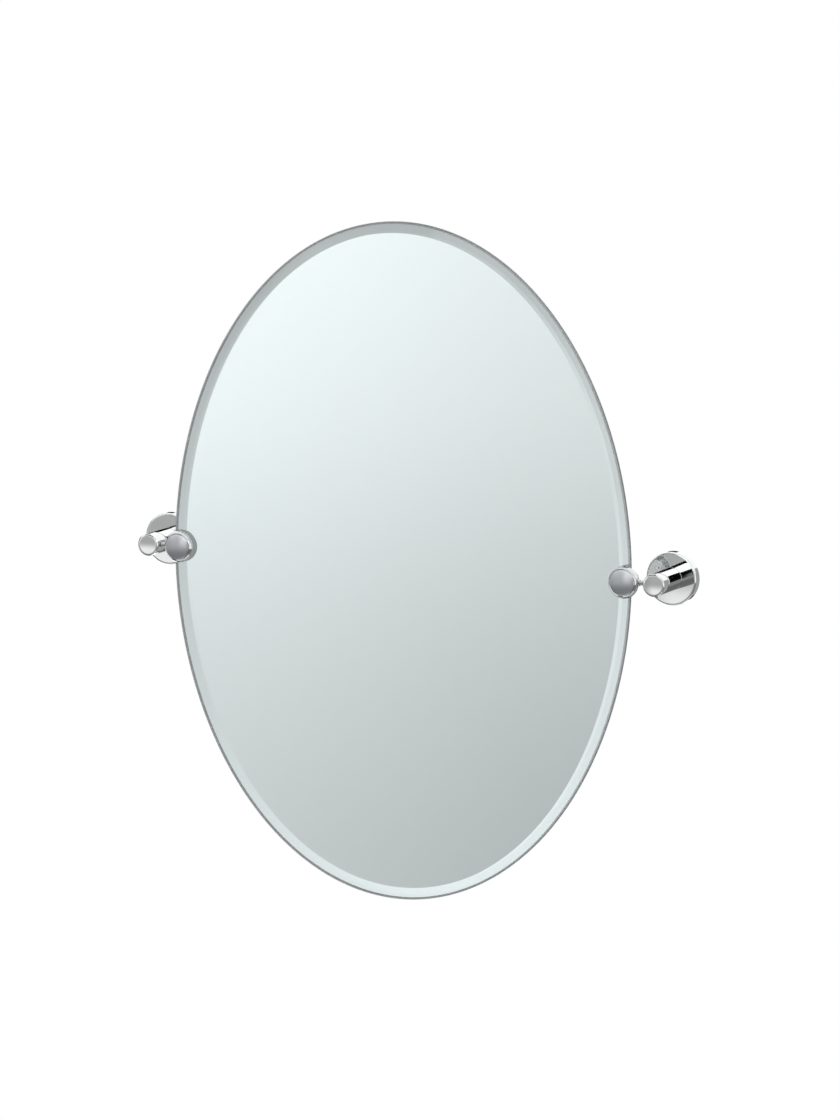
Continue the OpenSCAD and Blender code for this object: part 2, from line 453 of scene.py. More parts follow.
def fine_scratches() -> Tree:
    """The group that draws hairline wiping marks, long one way and very thin the other.

    Returns:
        The node group. Its mask is 1 in the marks.
    """
    wiring, given, result = group(
        "fine_scratches",
        {"Vector": (VECTOR, None), "Scale": (FLOAT, 60.0), "Stretch": (FLOAT, 30.0),
         "Spread": (FLOAT, 0.5)},
        {"Mask": FLOAT},
    )
    lean, turns = 0.3, (0.5, -0.9)
    faint, full = 0.62, 0.74
    masks = []
    for turn in turns:
        across = wiring.add(
            "ShaderNodeMapping", {"Vector": given.outputs["Vector"], "Rotation": (lean, turn, turn)}
        )
        x, y, z = wiring.add("ShaderNodeSeparateXYZ", {0: across.outputs[0]}).outputs
        thin = wiring.times(x, given.outputs["Stretch"])
        point = wiring.add("ShaderNodeCombineXYZ", {0: thin, 1: y, 2: z})
        noise = wiring.add(
            "ShaderNodeTexNoise",
            {"Vector": point.outputs[0], "Scale": given.outputs["Scale"], "Detail": 2.0,
             "Roughness": 0.6},
        )
        masks.append(wiring.between(noise.outputs[0], faint, full))
    both = wiring.maths("MAXIMUM", *masks)
    wiring.feed(result.inputs["Mask"], wiring.times(both, given.outputs["Spread"]))
    return wiring.tree


def soft_clouds() -> Tree:
    """The group that draws slow, cloudy changes, as of haze, wiping or uneven paint.

    Returns:
        The node group. Its mask runs from 0 to 1.
    """
    wiring, given, result = group(
        "soft_clouds",
        {"Vector": (VECTOR, None), "Scale": (FLOAT, 8.0), "Detail": (FLOAT, 3.0),
         "Sharpness": (FLOAT, 0.2)},
        {"Mask": FLOAT},
    )
    noise = wiring.add(
        "ShaderNodeTexNoise",
        {"Vector": given.outputs["Vector"], "Scale": given.outputs["Scale"],
         "Detail": given.outputs["Detail"], "Roughness": 0.55},
    )
    low = wiring.blend(given.outputs["Sharpness"], 0.25, 0.49)
    high = wiring.blend(given.outputs["Sharpness"], 0.75, 0.51)
    wiring.feed(result.inputs["Mask"], wiring.between(noise.outputs[0], low, high))
    return wiring.tree


def turning_marks() -> Tree:
    """The group that draws the fine rings a lathe leaves, as bands along one direction.

    Returns:
        The node group. Its mask runs from 0 to 1.
    """
    wiring, given, result = group(
        "turning_marks",
        {"Distance": (FLOAT, 0.0), "Pitch": (FLOAT, 0.0002), "Waver": (FLOAT, 0.3)},
        {"Mask": FLOAT},
    )
    steps = wiring.over(given.outputs["Distance"], given.outputs["Pitch"])
    noise = wiring.add(
        "ShaderNodeTexNoise", {"W": steps, "Scale": 0.35, "Detail": 3.0}, noise_dimensions="1D"
    )
    wave = wiring.maths("SINE", wiring.times(steps, 2 * math.pi))
    raised = wiring.maths("MULTIPLY_ADD", wave, 0.5, 0.5)
    wiring.feed(result.inputs["Mask"], wiring.blend(given.outputs["Waver"], raised, noise.outputs[0]))
    return wiring.tree


class Effects:
    """The shared shader node groups, each built once."""

    def __init__(self) -> None:
        """Builds the groups."""
        self.scratches = fine_scratches()
        self.clouds = soft_clouds()
        self.rings = turning_marks()


Colour = tuple[float, float, float]
WHITE: Colour = (1.0, 1.0, 1.0)


def rgba(colour: Colour) -> tuple[float, float, float, float]:
    """A colour with full opacity."""
    return (*colour, 1.0)


@dataclass
class MaterialDraft:
    """A material while it is made: its wiring, its shader and its object coordinates."""

    name: str
    effects: Effects
    material: Material = field(init=False)
    wiring: Wiring = field(init=False)
    shader: bpy.types.Node = field(init=False)
    place: Socket = field(init=False)

    def __post_init__(self) -> None:
        """Makes the material and finds its shader."""
        self.material = bpy.data.materials.new(self.name)
        self.material.use_nodes = True
        self.wiring = Wiring(self.material.node_tree)
        self.shader = next(n for n in self.material.node_tree.nodes if n.type == "BSDF_PRINCIPLED")
        self.place = self.wiring.add("ShaderNodeTexCoord").outputs["Object"]

    def effect(self, tree: Tree, **values: object) -> Socket:
        """Places a shared effect and returns what it puts out.

        Args:
            tree: The effect's node group.
            values: Its inputs, by their names in lower case.

        Returns:
            Its output.
        """
        made = self.wiring.add("ShaderNodeGroup", node_tree=tree)
        for name, value in values.items():
            self.wiring.feed(made.inputs[name.capitalize()], value)
        return made.outputs[0]

    def clouds(self, scale: float, sharpness: float = 0.2, detail: float = 3.0) -> Socket:
        """A cloudy mask over the surface.

        Args:
            scale: The noise's scale.
            sharpness: How hard the borders of the clouds are, from 0 to 1.
            detail: The noise's detail.

        Returns:
            The mask.
        """
        return self.effect(
            self.effects.clouds, vector=self.place, scale=scale, sharpness=sharpness, detail=detail
        )

    def scratches(self, scale: float, stretch: float, spread: float) -> Socket:
        """A mask of hairline marks over the surface.

        Args:
            scale: The marks' scale.
            stretch: How many times longer than wide they are.
            spread: The mask's greatest value.

        Returns:
            The mask.
        """
        return self.effect(
            self.effects.scratches, vector=self.place, scale=scale, stretch=stretch, spread=spread
        )

    def plain(self, **values: object) -> None:
        """Sets the shader's own sockets to constants, by their names with _ for a space."""
        for name, value in values.items():
            self.shader.inputs[name.replace("_", " ")].default_value = value

    def drive(self, socket: str, source: Socket) -> None:
        """Joins a pattern to one of the shader's sockets."""
        self.wiring.feed(self.shader.inputs[socket], source)

    def colours(self, share: Socket, first: Colour, second: Colour) -> None:
        """Blends the base colour between two, by a mask."""
        self.drive("Base Color", self.wiring.tint(share, rgba(first), rgba(second)))

    def roughness(self, share: Socket, first: float, second: float) -> None:
        """Blends the roughness between two, by a mask."""
        self.drive("Roughness", self.wiring.blend(share, first, second))

    def relief(self, height: Socket, depth: float, strength: float = 1.0) -> None:
        """Turns a mask into bumps of a real depth.

        Args:
            height: The mask.
            depth: The depth of the bumps.
            strength: How strongly they turn the surface.
        """
        bump = self.wiring.add(
            "ShaderNodeBump", {"Strength": strength, "Distance": depth, "Height": height}
        )
        self.drive("Normal", bump.outputs[0])


# ---------------------------------------------------------------- finishes


class Finish:
    """A finish. Each kind treats the draft of its material in its own way."""

    name: str

    def make(self, effects: Effects) -> Material:
        """Makes the finish.

        Args:
            effects: The shared effects.

        Returns:
            The finish as a material.
        """
        draft = MaterialDraft(self.name, effects)
        self.treat(draft)
        return draft.material

    def treat(self, draft: MaterialDraft) -> None:
        """Gives a draft the finish's colour, roughness and relief."""
        raise NotImplementedError


@dataclass(frozen=True)
class ChromePlate(Finish):
    """Chrome plate, with a breath of haze and hairline wiping marks."""

    name: str = "chrome_plate"
    colour: Colour = (0.690, 0.702, 0.700)
    hazed: Colour = (0.670, 0.685, 0.686)
    gloss: float = 0.028
    worn: float = 0.075
    ripple: float = 0.0006 * MM
    hazed_share: float = 0.35

    def treat(self, draft: MaterialDraft) -> None:
        """Draws the haze and the wiping marks, over a faint ripple.

        Args:
            draft: The draft of the material.
        """
        draft.plain(Metallic=1.0, IOR=1.5)
        haze = draft.clouds(scale=45.0)
        marks = draft.scratches(scale=90.0, stretch=26.0, spread=0.5)
        share = draft.wiring.maths("MAXIMUM", draft.wiring.times(haze, self.hazed_share), marks)
        draft.colours(haze, self.colour, self.hazed)
        draft.roughness(share, self.gloss, self.worn)
        draft.relief(draft.clouds(scale=260.0), self.ripple)


@dataclass(frozen=True)
class CapPlate(Finish):
    """Plate of the clip caps: satin on the dome, brighter towards the rounded rim.

    The clips' axes are axis_at to each side of the mirror's middle.
    """

    axis_at: float
    name: str = "cap_plate"
    colour: Colour = (0.530, 0.554, 0.574)
    rim_colour: Colour = (0.600, 0.611, 0.612)
    satin: float = 0.34
    bright: float = 0.09
    dome: float = 12.4 * MM
    rim: float = 13.0 * MM
    haze: float = 0.02

    def treat(self, draft: MaterialDraft) -> None:
        """Sets the dome apart from the rim, by the distance from the clip's axis.

        Args:
            draft: The draft of the material.
        """
        draft.plain(Metallic=1.0, IOR=1.5)
        wiring = draft.wiring
        x, _, z = wiring.add("ShaderNodeSeparateXYZ", {0: draft.place}).outputs
        across = wiring.minus(wiring.maths("ABSOLUTE", x), self.axis_at)
        edge = wiring.between(wiring.length(across, z), self.dome, self.rim)
        haze = wiring.times(draft.clouds(scale=60.0), self.haze)
        draft.colours(edge, self.colour, self.rim_colour)
        draft.drive("Roughness", wiring.plus(wiring.blend(edge, self.satin, self.bright), haze))


@dataclass(frozen=True)
class PolishedGlass(Finish):
    """Clear float glass with a faint blue-green cast.

    Its glow stands in for the light that wanders along the glass between its faces.
    """

    name: str = "polished_glass"
    colour: Colour = (0.955, 0.985, 0.985)
    smeared: Colour = (0.94, 0.965, 0.965)
    gloss: float = 0.0
    smear_gloss: float = 0.004
    index: float = 1.52
    glow: Colour = (0.80, 1.0, 0.96)
    glow_per_metre: float = 2.6

    def treat(self, draft: MaterialDraft) -> None:
        """Makes the glass clear, with faint smears and a glow inside.

        Args:
            draft: The draft of the material.
        """
        draft.plain(Transmission_Weight=1.0, IOR=self.index)
        film = draft.clouds(scale=5.0, sharpness=0.5)
        smear = draft.scratches(scale=22.0, stretch=40.0, spread=0.25)
        share = draft.wiring.times(film, smear)
        draft.colours(share, self.colour, self.smeared)
        draft.roughness(share, self.gloss, self.smear_gloss)
        glow = draft.wiring.add(
            "ShaderNodeEmission", {"Color": rgba(self.glow), "Strength": self.glow_per_metre}
        )
        out = next(n for n in draft.material.node_tree.nodes if n.type == "OUTPUT_MATERIAL")
        draft.wiring.feed(out.inputs["Volume"], glow.outputs[0])


@dataclass(frozen=True)
class GroundGlass(Finish):
    """The ground edge and arris of the glass: satin grey, with fine grinding marks."""

    name: str = "ground_glass_edge"
    colour: Colour = (0.385, 0.396, 0.400)
    bright: Colour = (0.460, 0.471, 0.476)
    satin: float = 0.34
    coarse: float = 0.46
    clear: float = 0.7
    grain_share: float = 0.35
    grain_depth: float = 0.01 * MM

    def treat(self, draft: MaterialDraft) -> None:
        """Draws the grain that grinding leaves.

        Args:
            draft: The draft of the material.
        """
        draft.plain(IOR=1.52, Coat_Weight=0.25, Coat_Roughness=0.12, Transmission_Weight=self.clear)
        grain = draft.clouds(scale=900.0, sharpness=0.4)
        slow = draft.clouds(scale=14.0)
        share = draft.wiring.blend(self.grain_share, slow, grain)
        draft.colours(share, self.colour, self.bright)
        draft.roughness(grain, self.satin, self.coarse)
        draft.relief(grain, self.grain_depth, 0.6)


@dataclass(frozen=True)
class MirrorSilver(Finish):
    """The bright silver behind the glass."""

    name: str = "mirror_silver"
    colour: Colour = (0.955, 0.955, 0.945)
    dull: Colour = (0.950, 0.948, 0.935)

    def treat(self, draft: MaterialDraft) -> None:
        """Makes the silver bright, a little duller in places.

        Args:
            draft: The draft of the material.
        """
        draft.plain(Metallic=1.0, Roughness=0.0)
        slow = draft.clouds(scale=3.0)
        draft.colours(slow, self.colour, self.dull)


@dataclass(frozen=True)
class BackingPaint(Finish):
    """Grey protective paint, flowed on and slightly uneven."""

    name: str = "backing_paint"
    colour: Colour = (0.400, 0.412, 0.420)
    thin: Colour = (0.455, 0.466, 0.472)
    sheen: float = 0.46
    dry: float = 0.56
    flow_share: float = 0.7
    stipple_depth: float = 0.03 * MM

    def treat(self, draft: MaterialDraft) -> None:
        """Draws the flow of the paint, its stipple and its scuffs.

        Args:
            draft: The draft of the material.
        """
        draft.plain(IOR=1.48)
        flow = draft.clouds(scale=6.0, detail=4.0)
        stipple = draft.clouds(scale=520.0)
        scuffs = draft.scratches(scale=26.0, stretch=34.0, spread=0.5)
        share = draft.wiring.maths("MAXIMUM", draft.wiring.times(flow, self.flow_share), scuffs)
        draft.colours(share, self.colour, self.thin)
        draft.roughness(flow, self.sheen, self.dry)
        draft.relief(stipple, self.stipple_depth, 0.7)


@dataclass(frozen=True)
class TurnedSteel(Finish):
    """Bright steel turned on a lathe, with its fine rings along one axis."""

    axis: Axis
    colour: Colour = (0.50, 0.50, 0.50)
    groove: Colour = (0.40, 0.40, 0.405)
    gloss: float = 0.16
    hazed: float = 0.28
    pitch: float = 0.22 * MM
    ring_depth: float = 0.004 * MM

    @property
    def name(self) -> str:
        """The material's name, with the axis that its rings follow each other along."""
        return f"turned_steel_{self.axis.name.lower()}"

    def treat(self, draft: MaterialDraft) -> None:
        """Draws the rings of the lathe and a haze over them.

        Args:
            draft: The draft of the material.
        """
        draft.plain(Metallic=1.0)
        parts = draft.wiring.add("ShaderNodeSeparateXYZ", {0: draft.place}).outputs
        along = parts[{Axis.ACROSS: 0, Axis.OUT: 1, Axis.UP: 2}[self.axis]]
        marks = draft.effect(draft.effects.rings, distance=along, pitch=self.pitch, waver=0.6)
        haze = draft.clouds(scale=160.0)
        draft.colours(marks, self.colour, self.groove)
        draft.roughness(haze, self.gloss, self.hazed)
        draft.relief(marks, self.ring_depth, 0.5)


@dataclass(frozen=True)
class ZincPlate(Finish):
    """Pressed steel with bright zinc plating, faintly yellow and blue in patches."""

    name: str = "zinc_plate"
    colour: Colour = (0.56, 0.57, 0.56)
    warm: Colour = (0.57, 0.55, 0.47)
    rubbed: Colour = (0.44, 0.45, 0.45)
    gloss: float = 0.28
    dull: float = 0.42
    grain_depth: float = 0.012 * MM

    def treat(self, draft: MaterialDraft) -> None:
        """Draws the patches of the plating and the rubbed grain.

        Args:
            draft: The draft of the material.
        """
        draft.plain(Metallic=1.0)
        patches = draft.clouds(scale=70.0, sharpness=0.3)
        grain = draft.scratches(scale=70.0, stretch=30.0, spread=0.8)
        shade = draft.wiring.tint(patches, rgba(self.colour), rgba(self.warm))
        draft.drive("Base Color", draft.wiring.tint(grain, shade, rgba(self.rubbed)))
        draft.roughness(patches, self.gloss, self.dull)
        draft.relief(grain, self.grain_depth, 0.6)


@dataclass(frozen=True)
class ClearVinyl(Finish):
    """Soft translucent vinyl, milky where it is thick.

    A pad under the glass has a faint glow, for the light that reaches it through
    the glass.
    """

    name: str = "clear_vinyl"
    colour: Colour = (0.82, 0.84, 0.83)
    milky: Colour = (0.74, 0.76, 0.76)
    lit: float = 0.0
    smooth: float = 0.32
    rough: float = 0.46
    grain_depth: float = 0.01 * MM

    def treat(self, draft: MaterialDraft) -> None:
        """Makes the vinyl half clear, with milky clouds and a fine grain.

        Args:
            draft: The draft of the material.
        """
        draft.plain(Transmission_Weight=0.55, IOR=1.45, Emission_Strength=self.lit)
        cloud = draft.clouds(scale=120.0)
        draft.colours(cloud, self.colour, self.milky)
        draft.roughness(cloud, self.smooth, self.rough)
        draft.relief(draft.clouds(scale=700.0), self.grain_depth, 0.5)


@dataclass(frozen=True)
class NaturalNylon(Finish):
    """Off-white moulded nylon, waxy, with a faint mould texture."""

    name: str = "natural_nylon"
    colour: Colour = (0.80, 0.793, 0.768)
    shade: Colour = (0.74, 0.732, 0.705)
    waxy: float = 0.36
    dry: float = 0.48
    grain_depth: float = 0.008 * MM

    def treat(self, draft: MaterialDraft) -> None:
        """Makes the nylon waxy, with clouds and a fine grain.

        Args:
            draft: The draft of the material.
        """
        draft.plain(IOR=1.53, Subsurface_Weight=0.15, Subsurface_Scale=0.001)
        cloud = draft.clouds(scale=220.0)
        draft.colours(cloud, self.colour, self.shade)
        draft.roughness(cloud, self.waxy, self.dry)
        draft.relief(draft.clouds(scale=1500.0), self.grain_depth, 0.6)


class Finishes:
    """Every finish of the mirror, each made once."""

    def __init__(self) -> None:
        """Makes the materials."""
        effects = Effects()
        self.chrome = ChromePlate().make(effects)
        self.cap = CapPlate(Extent.of("clip_back_right").middle.x).make(effects)
        self.dull = ChromePlate(
            name="dull_chrome", colour=(0.700, 0.710, 0.710), hazed=(0.680, 0.692, 0.692),
            gloss=0.46, worn=0.50,
        ).make(effects)
        self.glass = PolishedGlass().make(effects)
        self.ground = GroundGlass().make(effects)
        self.silver = MirrorSilver().make(effects)
        self.paint = BackingPaint().make(effects)
        self.steel = {axis: TurnedSteel(axis).make(effects) for axis in Axis}
        self.zinc = ZincPlate().make(effects)
        self.vinyl = ClearVinyl().make(effects)
        # The pads in front of the glass get a darker copy of the clear vinyl, which is painted shade, and
        # a faint glow, which is painted light
        self.front_vinyl = ClearVinyl(
            name="front_vinyl", colour=(0.44, 0.46, 0.46), milky=(0.38, 0.40, 0.40), lit=0.17
        ).make(effects)
        self.nylon = NaturalNylon().make(effects)


def dress(piece: Piece, *materials: Material) -> None:
    """Gives a piece its materials, in place of any that it has.

    Args:
        piece: The piece.
        materials: Its materials, in the order of its slots.
    """
    piece.data.materials.clear()
    for material in materials:
        piece.data.materials.append(material)


def stand_in(piece: Piece, body: str, slot: str, *nodes: str) -> None:
    """Lets a piece stand for CAD nodes, on their body.

    Args:
        piece: The finished piece.
        body: The body that it rides on.
        slot: Its material slot; not used.
        nodes: The CAD nodes that it stands for.
    """
    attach(piece, body)
    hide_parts(*nodes)
    log.info("%s: %d faces, rides on %s", piece.name, len(piece.data.polygons), body)


@dataclass(frozen=True)
class Extent:
    """Where a CAD node is: its corners, and the same as distances out of the wall."""

    low: Vector
    high: Vector

    @classmethod
    def of(cls, node: str) -> "Extent":
        """The extent of a node."""
        return cls(*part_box(node))

    @property
    def back(self) -> float:
        """The node's least distance from the wall."""
        return -self.high.y

    @property
    def front(self) -> float:
        """The node's greatest distance from the wall."""
        return -self.low.y

    @property
    def middle(self) -> Vector:
        """The node's centre."""
        return (self.low + self.high) / 2

    @property
    def width(self) -> float:
        """The node's size from left to right."""
        return self.high.x - self.low.x

    @property
    def height(self) -> float:
        """The node's size from bottom to top."""
        return self.high.z - self.low.z

    def reach(self, side: Side) -> tuple[float, float]:
        """The node's nearest and furthest places from the mirror's middle, signed by hand.

        Args:
            side: The hand that the node is on.

        Returns:
            The nearest place and the furthest one.
        """
        if side is Side.RIGHT:
            return self.low.x, self.high.x
        return self.high.x, self.low.x


WALL_MOUNT = "wall_mount"
MIRROR = "mirror"


# ---------------------------------------------------------------- geometry node trees


def set_inputs(modifier: bpy.types.Modifier, values: dict[str, object]) -> None:
    """Sets a node modifier's inputs, each by its socket's own identifier.

    Args:
        modifier: The node modifier.
        values: The inputs' values, by name.
    """
    for item in modifier.node_group.interface.items_tree:
        if item.item_type == "SOCKET" and item.in_out == "INPUT" and item.name in values:
            modifier[item.identifier] = values[item.name]


def grown(name: str, tree: Tree, values: dict[str, object]) -> Piece:
    """Runs a geometry node tree with its inputs set and keeps the plain mesh that it makes.

    Args:
        name: The new object's name.
        tree: The geometry node tree.
        values: Its inputs' values, by name.

    Returns:
        The piece.
    """
    piece = link_object(name, bpy.data.meshes.new(name))
    modifier = piece.modifiers.new("grow", "NODES")
    modifier.node_group = tree
    set_inputs(modifier, values)
    settle(piece)
    return piece


# The face attribute that says between which two rings of an oval plate a face lies
BAND = "band"


def oval_plate_tree() -> Tree:
    """The tree of an oval plate: back face, square edge, arris, bevel and front face.

    A grid is wrapped into six rings. The first and last are the centres of the two
    flat faces, and the others follow the oval, drawn in and set out from the wall.

    Returns:
        The geometry node tree.
    """
    length = {name: (FLOAT, 0.0) for name in
              ("Width", "Height", "Back", "Front", "Edge", "Arris Width", "Arris Depth", "Bevel Width")}
    wiring, given, result = group(
        "oval_plate",
        {**length, "Steps": (INTEGER, OVAL_STEPS), "Face Material": (MATERIAL, None),
         "Edge Material": (MATERIAL, None), "Back Material": (MATERIAL, None)},
        {"Geometry": GEOMETRY}, "GeometryNodeTree",
    )
    wiring.tree.is_modifier = True
    rings = 6
    weld = 0.001 * MM
    size = given.outputs
    columns = wiring.plus(size["Steps"], 1.0)
    grid = wiring.add(
        "GeometryNodeMeshGrid",
        {"Size X": 1.0, "Size Y": 1.0, "Vertices X": columns, "Vertices Y": rings},
    )
    index = wiring.add("GeometryNodeInputIndex").outputs[0]
    ring = wiring.maths("MODULO", index, float(rings))
    step = wiring.maths("FLOOR", wiring.over(index, float(rings)))
    angle = wiring.times(wiring.over(step, size["Steps"]), 2 * math.pi)

    def pick(values: Sequence[object]) -> Socket:
        """The value of each point's ring.

        Args:
            values: One value for each ring.

        Returns:
            The value at each point.
        """
        switch = wiring.add("GeometryNodeIndexSwitch", data_type="FLOAT")
        for _ in range(rings - len(switch.index_switch_items)):
            switch.index_switch_items.new()
        wiring.feed(switch.inputs["Index"], ring)
        for k, value in enumerate(values):
            wiring.feed(switch.inputs[k + 1], value)
        return switch.outputs[0]

    shoulder = wiring.plus(size["Back"], size["Edge"])
    corner = wiring.minus(shoulder, size["Arris Depth"])
    inset = pick([0.0, 0.0, 0.0, size["Arris Width"], size["Bevel Width"], 0.0])
    spread = pick([0.0, 1.0, 1.0, 1.0, 1.0, 0.0])
    out = pick([size["Back"], size["Back"], corner, shoulder, size["Front"], size["Front"]])
    spans = []
    for turn, full in (("COSINE", size["Width"]), ("SINE", size["Height"])):
        half = wiring.minus(wiring.over(full, 2.0), inset)
        spans.append(wiring.times(wiring.times(half, wiring.maths(turn, angle)), spread))
    point = wiring.add("ShaderNodeCombineXYZ", {0: spans[0], 1: wiring.times(out, -1.0), 2: spans[1]})
    placed = wiring.add(
        "GeometryNodeSetPosition", {"Geometry": grid.outputs["Mesh"], "Position": point.outputs[0]}
    )
    number = wiring.maths("MODULO", index, rings - 1.0)
    marked = wiring.add(
        "GeometryNodeStoreNamedAttribute",
        {"Geometry": placed.outputs[0], "Name": BAND, "Value": number},
        data_type="FLOAT", domain="FACE",
    )
    merged = wiring.add("GeometryNodeMergeByDistance", {"Geometry": marked.outputs[0], "Distance": weld})
    shape = wiring.add("GeometryNodeRealizeInstances", {"Geometry": merged.outputs[0]}).outputs[0]
    # Band 0 is the back, bands 1 and 2 are the edge and its arris
    band = wiring.add("GeometryNodeInputNamedAttribute", {"Name": BAND}, data_type="FLOAT").outputs[0]
    on_edge = wiring.maths("COMPARE", band, 1.5, 0.6)
    on_back = wiring.maths("LESS_THAN", band, 0.5)
    for chosen, slot in ((True, "Face Material"), (on_edge, "Edge Material"), (on_back, "Back Material")):
        shape = wiring.add(
            "GeometryNodeSetMaterial", {"Geometry": shape, "Selection": chosen, "Material": size[slot]}
        ).outputs[0]
    wiring.feed(result.inputs["Geometry"], shape)
    return wiring.tree


def fastener_tree() -> Tree:
    """The tree that sets one fastener out in two columns, one for each hand, and in rows.

    Returns:
        The geometry node tree.
    """
    wiring, given, result = group(
        "fasteners",
        {"Pattern": (OBJECT, None), "Column Spacing": (FLOAT, 0.0), "Rows": (INTEGER, 1),
         "Row Spacing": (FLOAT, 0.0), "Material": (MATERIAL, None)},
        {"Geometry": GEOMETRY}, "GeometryNodeTree",
    )
    wiring.tree.is_modifier = True
    size = given.outputs
    tall = wiring.times(wiring.minus(size["Rows"], 1.0), size["Row Spacing"])
    grid = wiring.add(
        "GeometryNodeMeshGrid",
        {"Size X": size["Column Spacing"], "Size Y": tall, "Vertices X": 2, "Vertices Y": size["Rows"]},
    )
    raised = wiring.add(
        "GeometryNodeTransform", {"Geometry": grid.outputs["Mesh"], "Rotation": (math.pi / 2, 0.0, 0.0)}
    )
    pattern = wiring.add("GeometryNodeObjectInfo", {"Object": size["Pattern"]})
    copies = wiring.add(
        "GeometryNodeInstanceOnPoints",
        {"Points": raised.outputs[0], "Instance": pattern.outputs["Geometry"]},
    )
    real = wiring.add("GeometryNodeRealizeInstances", {"Geometry": copies.outputs[0]})
    painted = wiring.add(
        "GeometryNodeSetMaterial", {"Geometry": real.outputs[0], "Material": size["Material"]}
    )
    wiring.feed(result.inputs["Geometry"], painted.outputs[0])
    return wiring.tree


# ---------------------------------------------------------------- the mirror plate


@dataclass
class MirrorPlate:
    """The oval glass with its bevel, its ground edge, and the silver and paint behind it."""

    edge: float = 2.6 * MM
    arris_width: float = 2.4 * MM
    arris_depth: float = 0.4 * MM
    bevel_width: float = 11.0 * MM
    silver_gap: float = 0.01 * MM
    crisp_angle: float = math.radians(6)

    def build(self, finishes: Finishes) -> None:
        """Builds the glass and its backing on the tilting body.

        Args:
            finishes: The mirror's finishes.
        """
        tree = oval_plate_tree()
        glass = Extent.of("mirror_glass")
        body = grown("bevelled_glass", tree, {
            "Width": glass.width, "Height": glass.height, "Back": glass.back, "Front": glass.front,
            "Edge": self.edge, "Arris Width": self.arris_width, "Arris Depth": self.arris_depth,
            "Bevel Width": self.bevel_width, "Steps": OVAL_STEPS, "Face Material": finishes.glass,
            "Edge Material": finishes.ground, "Back Material": finishes.glass,
        })
        self.finish(body)
        stand_in(body, MIRROR, "mirror_glass", "mirror_glass")
        paint = Extent.of("silver_backing")
        front = paint.front - self.silver_gap
        backing = grown("silver_and_paint", tree, {
            "Width": paint.width, "Height": paint.height, "Back": paint.back, "Front": front,
            "Edge": front - paint.back, "Arris Width": 0.0, "Arris Depth": 0.0,
            "Bevel Width": 0.0, "Steps": OVAL_STEPS, "Face Material": finishes.silver,
            "Edge Material": finishes.paint, "Back Material": finishes.paint,
        })
        self.finish(backing)
        stand_in(backing, MIRROR, "backing_paint", "silver_backing")

    def finish(self, plate: Piece) -> None:
        """Points a plate's faces outwards and shades it crisp along its rings.

        Args:
            plate: The glass or its backing.
        """
        mesh = plate.data
        mesh.attributes.remove(mesh.attributes[BAND])
        bm = bmesh.new()
        bm.from_mesh(mesh)
        bmesh.ops.recalc_face_normals(bm, faces=bm.faces)
        bm.to_mesh(mesh)
        bm.free()
        mesh.polygons.foreach_set("use_smooth", [True] * len(mesh.polygons))
        mesh.set_sharp_from_angle(angle=self.crisp_angle)


# ---------------------------------------------------------------- clips and pivots


